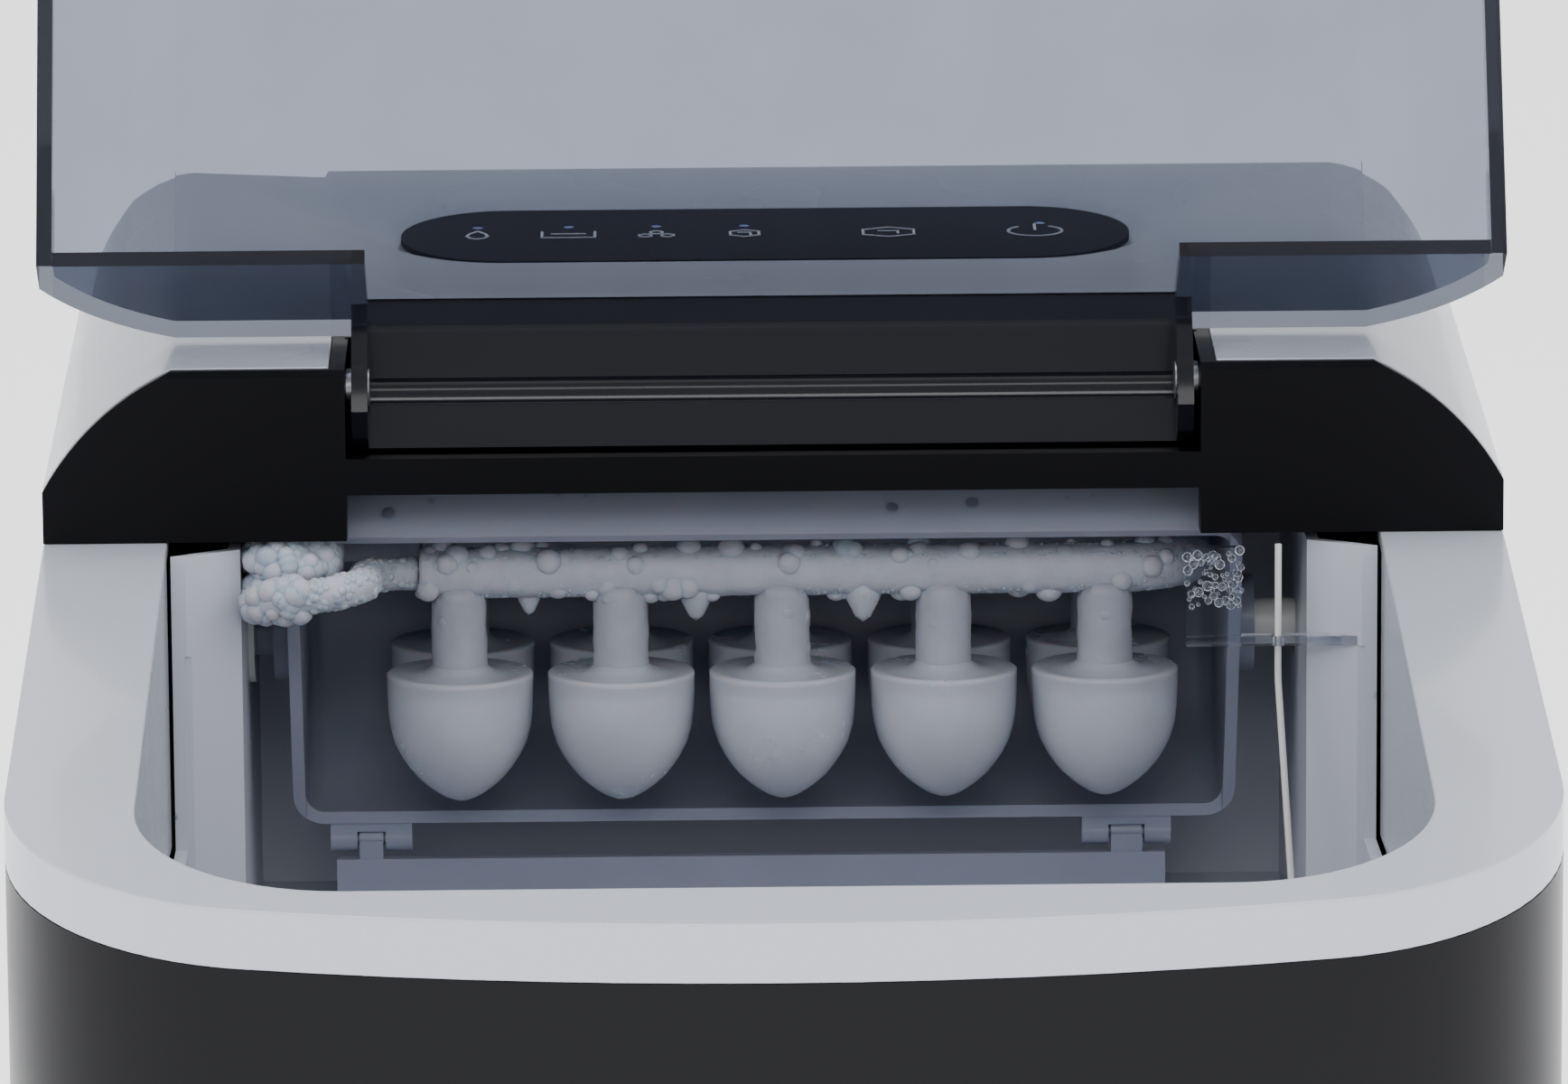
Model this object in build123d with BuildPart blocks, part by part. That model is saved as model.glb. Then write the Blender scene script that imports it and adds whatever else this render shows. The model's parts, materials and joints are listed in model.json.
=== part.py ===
"""Countertop bullet-ice maker, stored with its lid open and its water tray tipped to the harvest position.

Frame: X to the viewer's right, Y to the back, Z up, millimetres. The origin is the middle of the footprint
on the surface that the feet stand on.
"""
import os
from math import cos, radians, sin, tan

from build123d import *

os.makedirs("parts", exist_ok=True)

# ---------------------------------------------------------------- driving dimensions
WIDTH = 236.0
FRONT_Y = -160.0
REAR_Y = 160.0
FRONT_BOW = 15.0          # how far the bowed front stands out beyond its own corners
FRONT_CORNER_R = 45.0
REAR_CORNER_R = 27.0
FOOT_H = 8.0
WALL = 2.5                # moulded outer walls
THIN = 2.0                # moulded inner walls

FACE_Y = -6.0             # front face of the black hinge fascia
RIM_Z = 263.7             # height of the rim where it meets the fascia
RIM_SLOPE = 10.5          # the rim falls away towards the front by this many degrees
RIM_BAND = 9.0
DECK_Z = 291.7            # height of the deck at the fascia
DECK_SLOPE = 5.0
DECK_FLAT_X = 97.0        # the deck is flat between these, then its shoulders curve down
SHOULDER_H = 8.5          # upright part of the fascia's outer edge
SHOULDER_SLOPE = 6.2
REAR_ROUND = 30.0

OPENING_X = 98.0
OPENING_FRONT_Y = -146.0
OPENING_R = 32.0
RECESS_X = 69.0           # half width of the recess that takes the lid's tongue
RECESS_BACK_Y = 15.6
CROSSBAR_Z = (271.3, 277.2)

HINGE_Y = 4.0
HINGE_Z = 287.3
HINGE_PIN_R = 3.0
LID_OPEN = 124.0          # degrees from closed to the stored open pose
LID_GAP = 0.4
LID_BACK_Y = -7.2         # back face of the lid's end walls when it is shut
LID_H = 27.5
TONGUE_X = 68.0

PIVOT_Y = 29.0            # axis of the tipping water tray
PIVOT_Z = 242.2
TROUGH_R = 30.3
TROUGH_WALL = 2.0
LIP_CORNER_R = 5.0        # rounding of the tray's ends and lip corners
TRAY_X = (-79.5, 76.5)
LIP_ANGLES = (141.1, 265.9)   # the open side of the trough as stored, degrees from +Y towards +Z
PUSHER_HINGE_R = 35.2
RUN_CLEAR = 0.05

TUBE_R = 4.0
PIPE_R = 2.5
ROW_Y = (16.0, 42.0)
TUBE_Z = 254.2
FINGER_PITCH = 26.5
FINGER_X0 = 1.5
FINGER_R = 4.0
BULLET_R = 12.0
BULLET_TOP_Z = 235.6
BULLET_TIP_Z = 216.0
TUBE_END_X = (-58.0, 69.0)

CHAMBER_X = 88.4
CHAMBER_BACK_Y = 66.0
TUB_X = 97.4
TUB_FLOOR_Z = 30.0
TUB_TOP_Z = 213.5

HALF = WIDTH / 2
RIM_TAN = tan(radians(RIM_SLOPE))
DECK_TAN = tan(radians(DECK_SLOPE))
SHOULDER_TAN = tan(radians(SHOULDER_SLOPE))
BAND_Z = RIM_Z - RIM_BAND
HINGE_AXIS = Axis((0, HINGE_Y, HINGE_Z), (1, 0, 0))
LID_PLANE = Plane(
    origin=(0, FACE_Y, RIM_Z + LID_GAP),
    x_dir=(1, 0, 0),
    z_dir=(0, -sin(radians(RIM_SLOPE)), cos(radians(RIM_SLOPE))),
)


# ---------------------------------------------------------------- shared shapes
def save(builder, name):
    """Label a finished piece and write it under its own name."""
    builder.part.label = name
    export_step(builder.part, f"parts/{name}.step")


def rim_z(y):
    """Height of the rim's top face."""
    return RIM_Z + (y - FACE_Y) * RIM_TAN


def deck_z(y):
    """Height of the deck's flat top."""
    return DECK_Z + (y - FACE_Y) * DECK_TAN


def footprint(inset=0.0):
    """Plan outline of the cabinet, shrunk by inset on every side."""
    half = HALF - inset
    side_y = FRONT_Y + FRONT_BOW + inset
    with BuildSketch() as plan:
        with BuildLine():
            front = ThreePointArc((-half, side_y), (0, FRONT_Y + inset), (half, side_y))
            Polyline(front @ 1, (half, REAR_Y - inset), (-half, REAR_Y - inset), front @ 0)
        make_face()
        fillet(plan.vertices().group_by(Axis.Y)[0], FRONT_CORNER_R - inset)
        fillet(plan.vertices().group_by(Axis.Y)[-1], REAR_CORNER_R - inset)
    return plan.sketch


def shoulder_profile(y, bottom, inset=0.0):
    """Cross-section of the deck, shoulders and sides at a given y, down to bottom."""
    half = HALF - inset
    flat = DECK_FLAT_X - inset / 2
    low = RIM_Z + SHOULDER_H + (y - FACE_Y) * SHOULDER_TAN - inset / 2
    top = deck_z(y) - inset
    mid = (half - 0.476 * (half - flat), low + 0.636 * (top - low))
    with BuildSketch() as section:
        with BuildLine():
            Polyline((-half, low), (-half, bottom), (half, bottom), (half, low))
            ThreePointArc((half, low), mid, (flat, top))
            Line((flat, top), (-flat, top))
            ThreePointArc((-flat, top), (-mid[0], mid[1]), (-half, low))
        make_face()
    return section.sketch


def housing_form(inset):
    """Outer form of the grey top housing, shrunk by inset; the shrunk form runs out through the bottom."""
    drop = RIM_BAND if inset == 0 else RIM_BAND + 30
    front = FRONT_Y - 1
    step_y = FACE_Y + WALL + 0.1 + inset
    flat_end = REAR_Y - inset - REAR_ROUND
    crest = deck_z(flat_end) - inset
    floor = RIM_Z - drop
    with BuildPart() as form:
        with BuildSketch(Plane.XZ.offset(-step_y + 0.5)):
            add(shoulder_profile(step_y - 0.5, floor - 60, inset))
        with BuildSketch(Plane.XZ.offset(-REAR_Y - 1)):
            add(shoulder_profile(REAR_Y + 1, floor - 60, inset))
        loft(ruled=True)
        with BuildSketch(Plane.XY.offset(floor - 60)):
            with Locations((0, (front + step_y) / 2)):
                Rectangle(WIDTH, step_y - front + 2)
        extrude(amount=RIM_Z - floor + 60)
        with BuildSketch(Plane.XY.offset(floor - 60)):
            add(footprint(inset))
        extrude(amount=200, mode=Mode.INTERSECT)
        with BuildSketch(Plane.YZ.offset(-HALF)):
            with BuildLine():
                Polyline(
                    (flat_end, crest),
                    (step_y, deck_z(step_y) - inset),
                    (step_y, RIM_Z - inset),
                    (FACE_Y, RIM_Z - inset),
                    (front, rim_z(front) - inset),
                    (front, rim_z(front) - drop),
                    (FACE_Y, floor),
                    (REAR_Y + 1 - inset, floor),
                    (REAR_Y + 1 - inset, crest - REAR_ROUND - 1),
                    (REAR_Y - inset, crest - REAR_ROUND),
                )
                RadiusArc((REAR_Y - inset, crest - REAR_ROUND), (flat_end, crest), -REAR_ROUND)
            make_face()
        extrude(amount=WIDTH, mode=Mode.INTERSECT)
    return form.part


def opening_outline(x_half, front_y, back_y, corner_r):
    """Plan of the ice opening: square at the back, rounded at the front."""
    with BuildSketch() as plan:
        with Locations((0, (front_y + back_y) / 2)):
            Rectangle(2 * x_half, back_y - front_y)
        fillet(plan.vertices().group_by(Axis.Y)[0], corner_r)
    return plan.sketch


def pipe(points, bends, radius, bore=0.0):
    """A bent round tube along straight runs joined by arcs."""
    with BuildPart() as run:
        with BuildLine() as route:
            FilletPolyline(*points, radius=bends)
        start = Plane(origin=route.wires()[0] @ 0, z_dir=route.wires()[0] % 0)
        with BuildSketch(start):
            Circle(radius)
            if bore:
                Circle(bore, mode=Mode.SUBTRACT)
        sweep(path=route.wires()[0])
    return run.part


# ---------------------------------------------------------------- base
FOOT_SPOTS = [(x, y) for x in (-88, 88) for y in (-112, 128)]

with BuildPart() as feet:
    for x, y in FOOT_SPOTS:
        with Locations((x, y, 0)):
            Cone(12, 13, FOOT_H, align=(Align.CENTER, Align.CENTER, Align.MIN))
            Cylinder(4, FOOT_H + 2, align=(Align.CENTER, Align.CENTER, Align.MIN))
        with Locations((x, y, FOOT_H + 1.5)):
            Cone(6, 4, 4, align=(Align.CENTER, Align.CENTER, Align.MIN))
save(feet, "feet")

with BuildPart() as base_pan:
    with BuildSketch(Plane.XY.offset(FOOT_H)):
        add(footprint(WALL + 0.3))
    extrude(amount=14)
    with BuildSketch(Plane.XY.offset(FOOT_H + 1.5)):
        add(footprint(WALL + 1.8))
    extrude(amount=14, mode=Mode.SUBTRACT)
    for x, y in FOOT_SPOTS:
        with Locations((x, y, FOOT_H)):
            Cylinder(4, 6, mode=Mode.SUBTRACT)
save(base_pan, "base_pan")

# ---------------------------------------------------------------- black outer shell
SHELL_Z = FOOT_H + 2
SHELL_SPLIT_Y = REAR_Y - REAR_CORNER_R
DRAIN_Y = -90.0
DRAIN_Z = 40.0
VENT_ROWS = 11
VENT_PITCH = 9.0


def shell_ring(y_low, y_high):
    """The upright outer wall between two y values, trimmed under the grey band."""
    edge = [(y_high, BAND_Z)]
    if y_low < FACE_Y:
        edge += [(FACE_Y, BAND_Z), (y_low, rim_z(y_low) - RIM_BAND)]
    else:
        edge += [(y_low, BAND_Z)]
    with BuildPart() as ring:
        with BuildSketch(Plane.XY.offset(SHELL_Z)):
            add(footprint())
            add(footprint(WALL), mode=Mode.SUBTRACT)
        extrude(amount=RIM_Z)
        with BuildSketch(Plane.YZ.offset(-HALF)):
            with BuildLine():
                Polyline((y_low, SHELL_Z), (y_high, SHELL_Z), *edge, close=True)
            make_face()
        extrude(amount=WIDTH, mode=Mode.INTERSECT)
    return ring.part


with BuildPart() as body_shell:
    add(shell_ring(FRONT_Y - 1, SHELL_SPLIT_Y))
    with Locations(*[(0, 88, 60 + VENT_PITCH * row) for row in range(VENT_ROWS)]):
        Box(WIDTH + 2, 56, 3.6, mode=Mode.SUBTRACT)
    with Locations((-HALF, DRAIN_Y, DRAIN_Z)):
        Cylinder(13, 12, rotation=(0, 90, 0), mode=Mode.SUBTRACT)
save(body_shell, "body_shell")

INLET = (-60.0, 34.0)
PANEL_SCREWS = [(x, z) for x in (-86, 86) for z in (30, 240)]
with BuildPart() as rear_panel:
    add(shell_ring(SHELL_SPLIT_Y + 0.2, REAR_Y + 1))
    with Locations(*[(x, REAR_Y, 62 + VENT_PITCH * row) for x in (-44, 44) for row in range(VENT_ROWS)]):
        Box(62, 8, 3.6, mode=Mode.SUBTRACT)
    with Locations((INLET[0], REAR_Y, INLET[1])):
        Box(27, 8, 20, mode=Mode.SUBTRACT)
    with Locations(*[(x, REAR_Y, z) for x, z in PANEL_SCREWS]):
        Cylinder(3.0, 6, rotation=(90, 0, 0), mode=Mode.SUBTRACT)
save(rear_panel, "rear_panel")

# ---------------------------------------------------------------- grey top housing
PANEL_Y = 86.0
PANEL_LENGTH = 124.0
PANEL_WIDTH = 36.0
PANEL_PLANE = Plane(
    origin=(0, PANEL_Y, deck_z(PANEL_Y)),
    x_dir=(1, 0, 0),
    z_dir=(0, -sin(radians(DECK_SLOPE)), cos(radians(DECK_SLOPE))),
)
SKIRT_Z = 214.0

with BuildPart() as top_housing:
    add(housing_form(0))
    add(housing_form(WALL), mode=Mode.SUBTRACT)
    # inner wall of the ice opening, hanging from the rim
    with BuildSketch(Plane.XY.offset(SKIRT_Z)):
        add(opening_outline(OPENING_X + THIN, OPENING_FRONT_Y - THIN, FACE_Y - 3, OPENING_R + THIN))
    extrude(amount=RIM_Z - SKIRT_Z)
    with BuildSketch(Plane.YZ.offset(-HALF)):
        with BuildLine():
            Polyline(
                (FRONT_Y - 1, rim_z(FRONT_Y - 1)),
                (FACE_Y, RIM_Z),
                (FACE_Y, RIM_Z + 60),
                (FRONT_Y - 1, RIM_Z + 60),
                close=True,
            )
        make_face()
    extrude(amount=WIDTH, mode=Mode.SUBTRACT)
    with BuildSketch(Plane.XY.offset(SKIRT_Z - 1)):
        add(opening_outline(OPENING_X, OPENING_FRONT_Y, FACE_Y + 12, OPENING_R))
    extrude(amount=RIM_Z - SKIRT_Z + 1, mode=Mode.SUBTRACT)
    # notch for the fascia's recess
    with Locations((0, (FACE_Y + RECESS_BACK_Y + 1.9) / 2, RIM_Z)):
        Box(
            2 * RECESS_X + 5.2,
            RECESS_BACK_Y + 1.9 - FACE_Y,
            60,
            align=(Align.CENTER, Align.CENTER, Align.MIN),
            mode=Mode.SUBTRACT,
        )
    # dished pocket for the touch panel
    with BuildSketch(PANEL_PLANE):
        SlotOverall(PANEL_LENGTH + 8, PANEL_WIDTH + 8)
    with BuildSketch(PANEL_PLANE.offset(-1.7)):
        SlotOverall(PANEL_LENGTH + 0.4, PANEL_WIDTH + 0.4)
    loft(ruled=True, mode=Mode.SUBTRACT)
    with Locations(PANEL_PLANE.offset(-5)):
        Box(100, 22, 12, mode=Mode.SUBTRACT)
save(top_housing, "top_housing")

with BuildPart() as control_overlay:
    with BuildSketch(PANEL_PLANE.offset(-1.7)):
        SlotOverall(PANEL_LENGTH, PANEL_WIDTH)
    extrude(amount=1.0)
    with Locations(*[PANEL_PLANE.offset(-1.2) * Pos(x, 6) for x in (-49, -33.5, -18.5, -3.5, 47)]):
        Cylinder(1.0, 2, mode=Mode.SUBTRACT)
save(control_overlay, "control_overlay")

with BuildPart() as status_leds:
    for x in (-49, -33.5, -18.5, -3.5, 47):
        with BuildSketch(PANEL_PLANE.offset(-2.4)):
            with Locations((x, 6)):
                Circle(0.97)
        extrude(amount=1.6)
save(status_leds, "status_leds")

with BuildPart() as control_board:
    with BuildSketch(PANEL_PLANE.offset(-5.6)):
        Rectangle(96, 20)
    extrude(amount=1.6)
    with BuildSketch(PANEL_PLANE.offset(-8.6)):
        with Locations((-20, 0), (14, -2)):
            Rectangle(12, 9)
    extrude(amount=3)
    with BuildSketch(PANEL_PLANE.offset(-4)):
        with Locations((32, 2)):
            Rectangle(9, 9)
    extrude(amount=1.5)
save(control_board, "control_board")

# ---------------------------------------------------------------- black hinge fascia
with BuildPart() as hinge_fascia:
    with BuildSketch(Plane.XZ.offset(-FACE_Y)):
        add(shoulder_profile(FACE_Y, RIM_Z + 0.1))
    extrude(amount=-WALL)
    chamfer(hinge_fascia.faces().sort_by(Axis.Y)[0].edges().filter_by(Axis.X).sort_by(Axis.Z)[-1], 1.0)
    with Locations((0, FACE_Y, 0)):
        Box(2 * RECESS_X, 20, 700, mode=Mode.SUBTRACT)
    # side walls of the recess
    for side in (-1, 1):
        with BuildSketch(Plane.YZ.offset(side * (RECESS_X + 1.25) - 1.25)):
            with BuildLine():
                Polyline(
                    (FACE_Y + 1.2, RIM_Z + 0.1),
                    (0, RIM_Z + 0.1),
                    (0, 273.2),
                    (RECESS_BACK_Y + 1.8, 273.2),
                    (RECESS_BACK_Y + 1.8, deck_z(RECESS_BACK_Y)),
                    (FACE_Y + 1.2, DECK_Z),
                    close=True,
                )
            make_face()
        extrude(amount=2.5)
    # crossbar, recess floor and recess back wall
    with Locations((0, FACE_Y + 2, sum(CROSSBAR_Z) / 2)):
        Box(2 * RECESS_X + 1, 4, CROSSBAR_Z[1] - CROSSBAR_Z[0])
    with Locations((0, (RECESS_BACK_Y + 1.8 + FACE_Y + 3) / 2, 274.1)):
        Box(2 * RECESS_X + 1, RECESS_BACK_Y + 1.8 - FACE_Y - 3, 1.8)
    with Locations((0, RECESS_BACK_Y + 0.9, (273.2 + deck_z(RECESS_BACK_Y)) / 2)):
        Box(2 * RECESS_X + 1, 1.8, deck_z(RECESS_BACK_Y) - 273.2)
    with Locations((0, HINGE_Y, HINGE_Z)):
        Cylinder(HINGE_PIN_R, WIDTH, rotation=(0, 90, 0), mode=Mode.SUBTRACT)
save(hinge_fascia, "hinge_fascia")

with BuildPart() as hinge_pins:
    for side in (-1, 1):
        with Locations((side * (RECESS_X - 0.6), HINGE_Y, HINGE_Z)):
            Cylinder(HINGE_PIN_R, 6.2, rotation=(0, 90, 0))
save(hinge_pins, "hinge_pins")

# ---------------------------------------------------------------- lid, drawn shut and then swung open
LID_COS = cos(radians(RIM_SLOPE))


def lid_outline(inset):
    """Lid outline in its own sloping plane, left open at the back."""
    half = HALF - inset
    side_v = (FRONT_Y + FRONT_BOW - FACE_Y) / LID_COS + inset
    front_v = (FRONT_Y - FACE_Y) / LID_COS + inset
    with BuildLine(LID_PLANE) as outline:
        left = Line((-half, 10), (-half, side_v))
        front = ThreePointArc(left @ 1, (0, front_v), (half, side_v))
        Line(front @ 1, (half, 10))
        corners = outline.vertices().sort_by(Axis.Y)[0:2]
        fillet(corners, FRONT_CORNER_R - inset)
    return outline.wires()[0]


with BuildPart() as lid_shut:
    rim_path = lid_outline(0)
    start = Plane(origin=rim_path @ 0, x_dir=(1 if (rim_path @ 0).X < 0 else -1, 0, 0), z_dir=rim_path % 0)
    with BuildSketch(start):
        with BuildLine():
            Polyline((0, SHOULDER_H), (0, 0), (WALL, 0), (WALL, SHOULDER_H - 0.8))
            ThreePointArc((WALL, SHOULDER_H - 0.8), (11.2, 18.4), (21, LID_H - WALL))
            Polyline((21, LID_H - WALL), (25, LID_H - WALL), (25, LID_H), (21, LID_H))
            ThreePointArc((21, LID_H), (10, 20.6), (0, SHOULDER_H))
        make_face()
    sweep(path=rim_path)
    inner = lid_outline(23)
    with BuildSketch(LID_PLANE.offset(LID_H - WALL)):
        with BuildLine():
            add(LID_PLANE.to_local_coords(inner))
            Line((-HALF + 23, 10), (HALF - 23, 10))
        make_face()
    extrude(amount=WALL)
    with Locations((0, LID_BACK_Y, RIM_Z)):
        Box(WIDTH + 2, 60, 80, align=(Align.CENTER, Align.MIN, Align.CENTER), mode=Mode.SUBTRACT)
    # end walls either side of the tongue
    with BuildSketch(Plane.XZ.offset(-LID_BACK_Y)):
        add(shoulder_profile(FACE_Y, RIM_Z + LID_GAP, 0.35))
        with Locations((0, RIM_Z)):
            Rectangle(2 * TONGUE_X - 2, 120, mode=Mode.SUBTRACT)
    extrude(amount=WALL)
    # tongue over the hinge recess
    with Locations((0, (HINGE_Y + 10 + LID_BACK_Y - 6) / 2, DECK_Z - WALL / 2)):
        Box(2 * TONGUE_X, HINGE_Y + 10 - LID_BACK_Y + 6, WALL)
    for side in (-1, 1):
        with BuildSketch(Plane.YZ.offset(side * (TONGUE_X - 1.3) - 1.3)):
            with BuildLine():
                Polyline(
                    (LID_BACK_Y - WALL, RIM_Z + LID_GAP),
                    (LID_BACK_Y, RIM_Z + LID_GAP),
                    (LID_BACK_Y, HINGE_Z - 7.8),
                    (HINGE_Y, HINGE_Z - 7.8),
                    (HINGE_Y + 7, HINGE_Z - 5.8),
                    (HINGE_Y + 10, HINGE_Z - 1.8),
                    (HINGE_Y + 10, DECK_Z - 0.5),
                    (LID_BACK_Y - WALL, DECK_Z - 0.9),
                    close=True,
                )
            make_face()
        extrude(amount=2.6)
    with Locations((0, HINGE_Y, HINGE_Z)):
        Cylinder(HINGE_PIN_R + RUN_CLEAR, 2 * TONGUE_X + 2, rotation=(0, 90, 0), mode=Mode.SUBTRACT)

with BuildPart() as lid:
    add(lid_shut.part.rotate(HINGE_AXIS, -LID_OPEN))
save(lid, "lid")

# ---------------------------------------------------------------- bin liner and chamber
SHELF_Z = 180.0           # front edge of the chamber's sloping floor
SHELF_RISE = 0.165
CHAMBER_TOP_Z = 262.0
TUB_BACK_Y = -6.0


def chamber_form(inset, base_z):
    """Space around the tipping tray: slanted cheeks at the front, straight walls behind."""
    wide = TUB_X - inset
    narrow = CHAMBER_X - inset
    with BuildPart() as form:
        with BuildSketch(Plane.XY.offset(base_z)):
            with BuildLine():
                Polyline(
                    (-wide, -8.5 - inset / 8),
                    (-narrow, -2 - inset * 0.4),
                    (-narrow, CHAMBER_BACK_Y - inset),
                    (narrow, CHAMBER_BACK_Y - inset),
                    (narrow, -2 - inset * 0.4),
                    (wide, -8.5 - inset / 8),
                    close=True,
                )
            make_face()
        extrude(amount=CHAMBER_TOP_Z - base_z + inset)
        with BuildSketch(Plane.YZ.offset(-HALF)):
            low = SHELF_Z - THIN + inset
            with BuildLine():
                Polyline(
                    (-20, low - 12 * SHELF_RISE),
                    (CHAMBER_BACK_Y + 4, low + (CHAMBER_BACK_Y + 12) * SHELF_RISE),
                    (CHAMBER_BACK_Y + 4, CHAMBER_TOP_Z + 10),
                    (-20, CHAMBER_TOP_Z + 10),
                    close=True,
                )
            make_face()
        extrude(amount=WIDTH, mode=Mode.INTERSECT)
    return form.part


with BuildPart() as bin_liner:
    with BuildSketch(Plane.XY.offset(TUB_FLOOR_Z)):
        add(opening_outline(TUB_X, OPENING_FRONT_Y + 0.6, TUB_BACK_Y, OPENING_R - 0.6))
    extrude(amount=TUB_TOP_Z - TUB_FLOOR_Z)
    add(chamber_form(0, 170))
    inner_front = OPENING_FRONT_Y + 0.6 + THIN
    with BuildSketch(Plane.XY.offset(TUB_FLOOR_Z + THIN)):
        add(opening_outline(TUB_X - THIN, inner_front, TUB_BACK_Y - THIN, OPENING_R - 0.6 - THIN))
    extrude(amount=TUB_TOP_Z, mode=Mode.SUBTRACT)
    add(chamber_form(THIN, 160), mode=Mode.SUBTRACT)
    # pipes leave over the back wall at the left, the shaft and bush pass the side walls
    with Locations((-83, CHAMBER_BACK_Y - 1, 256.5)):
        Box(7.6, 8, 14, mode=Mode.SUBTRACT)
    with Locations((-CHAMBER_X, PIVOT_Y, PIVOT_Z)):
        Cylinder(7, 12, rotation=(0, 90, 0), mode=Mode.SUBTRACT)
    with Locations((CHAMBER_X, PIVOT_Y, PIVOT_Z)):
        Cylinder(5.5, 12, rotation=(0, 90, 0), mode=Mode.SUBTRACT)
    with Locations((-TUB_X, DRAIN_Y, DRAIN_Z)):
        Cylinder(6, 12, rotation=(0, 90, 0), mode=Mode.SUBTRACT)
    with Locations((58, TUB_BACK_Y, 50)):
        Cylinder(5, 12, rotation=(90, 0, 0), mode=Mode.SUBTRACT)
    for side in (-1, 1):
        with Locations((side * TUB_X, -60, 203)):
            Cylinder(3, 12, rotation=(0, 90, 0), mode=Mode.SUBTRACT)
save(bin_liner, "bin_liner")

with BuildPart() as bin_insulation:
    with BuildSketch(Plane.XY.offset(24)):
        add(footprint(WALL + 0.6))
        with Locations((0, TUB_BACK_Y + 200)):
            Rectangle(2 * WIDTH, 400, mode=Mode.SUBTRACT)
        add(opening_outline(TUB_X + 0.4, OPENING_FRONT_Y + 0.2, 20, OPENING_R - 0.2), mode=Mode.SUBTRACT)
    extrude(amount=170)
    with Locations((-HALF, DRAIN_Y, DRAIN_Z)):
        Cylinder(13.4, 50, rotation=(0, 90, 0), mode=Mode.SUBTRACT)
save(bin_insulation, "bin_insulation")

with BuildPart() as ice_sensors:
    for side in (-1, 1):
        with Locations((side * (TUB_X - 0.5), -60, 203)):
            Cylinder(2.95, 3, rotation=(0, 90, 0))
        with Locations((side * (TUB_X + 4.5), -60, 203)):
            Box(7, 14, 12)
save(ice_sensors, "ice_sensors")

# ---------------------------------------------------------------- evaporator
with BuildPart() as evaporator_tube:
    with BuildLine() as loop:
        FilletPolyline(
            (TUBE_END_X[0], ROW_Y[0], TUBE_Z),
            (TUBE_END_X[1], ROW_Y[0], TUBE_Z),
            (TUBE_END_X[1], ROW_Y[1], TUBE_Z),
            (TUBE_END_X[0], ROW_Y[1], TUBE_Z),
            radius=12.5,
        )
    with BuildSketch(Plane.YZ.offset(TUBE_END_X[0])):
        with Locations((ROW_Y[0], TUBE_Z)):
            Circle(TUBE_R)
            Circle(TUBE_R - 1, mode=Mode.SUBTRACT)
    sweep(path=loop.wires()[0])
save(evaporator_tube, "evaporator_tube")

FINGER_SPOTS = [(FINGER_X0 + FINGER_PITCH * (i - 2), y) for y in ROW_Y for i in range(5)]
FINGER_BOTTOM_Z = 222.0

with BuildPart() as evaporator_fingers:
    with Locations(*[(x, y, FINGER_BOTTOM_Z) for x, y in FINGER_SPOTS]):
        Cylinder(FINGER_R, TUBE_Z - FINGER_BOTTOM_Z, align=(Align.CENTER, Align.CENTER, Align.MIN))
    for y in ROW_Y:
        with Locations((0, y, TUBE_Z)):
            Cylinder(TUBE_R, WIDTH, rotation=(0, 90, 0), mode=Mode.SUBTRACT)
save(evaporator_fingers, "evaporator_fingers")

with BuildPart() as bullet:
    with BuildSketch(Plane.XZ):
        with BuildLine():
            Polyline(
                (0, BULLET_TIP_Z),
                (0, FINGER_BOTTOM_Z),
                (FINGER_R, FINGER_BOTTOM_Z),
                (FINGER_R, BULLET_TOP_Z + 1.8),
                (FINGER_R + 1, BULLET_TOP_Z + 0.6),
                (BULLET_R, BULLET_TOP_Z),
                (BULLET_R - 0.5, 227.6),
            )
            ThreePointArc((BULLET_R - 0.5, 227.6), (7.9, 221.6), (0.5, BULLET_TIP_Z))
            Line((0.5, BULLET_TIP_Z), (0, BULLET_TIP_Z))
        make_face()
    revolve(axis=Axis.Z)

with BuildPart() as ice_bullets:
    with Locations(*[(x, y, 0) for x, y in FINGER_SPOTS]):
        add(bullet.part)
save(ice_bullets, "ice_bullets")

GUARD_X = 66.6
with BuildPart() as evaporator_guard:
    with BuildSketch(Plane.XY.offset(245.5)):
        with BuildLine():
            Polyline((GUARD_X, -5), (GUARD_X, -8), (94.3, -8), (89.7, -5), close=True)
        make_face()
        with Locations((81.5, -6.6)):
            Circle(1.0, mode=Mode.SUBTRACT)
    extrude(amount=1.5)
    with Locations((GUARD_X + 4.5, -5.75, 254)):
        Box(9, 1.5, 15)
save(evaporator_guard, "evaporator_guard")

with BuildPart() as bin_sensor:
    add(pipe([(81.5, -6.6, 262), (81.5, -6.6, 240), (83.5, -12, 206)], [20], 0.55))
    with Locations((83.5, -12, 202)):
        Cylinder(1.9, 8)
save(bin_sensor, "bin_sensor")

# ---------------------------------------------------------------- tipping water tray
HOOKS = ((-73.5, -60.0), (51.2, 66.0))
PUSHER_Z = PIVOT_Z - PUSHER_HINGE_R
EAR = 4.4


def polar(radius, angle):
    """Point in the YZ plane at a radius and angle about the tray's pivot."""
    return PIVOT_Y + radius * cos(radians(angle)), PIVOT_Z + radius * sin(radians(angle))


def trough_arc(radius):
    """Arc of the trough from its lower lip round the back to its upper lip."""
    middle = (LIP_ANGLES[0] + 360 + LIP_ANGLES[1]) / 2
    return ThreePointArc(polar(radius, LIP_ANGLES[1]), polar(radius, middle), polar(radius, LIP_ANGLES[0]))


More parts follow.
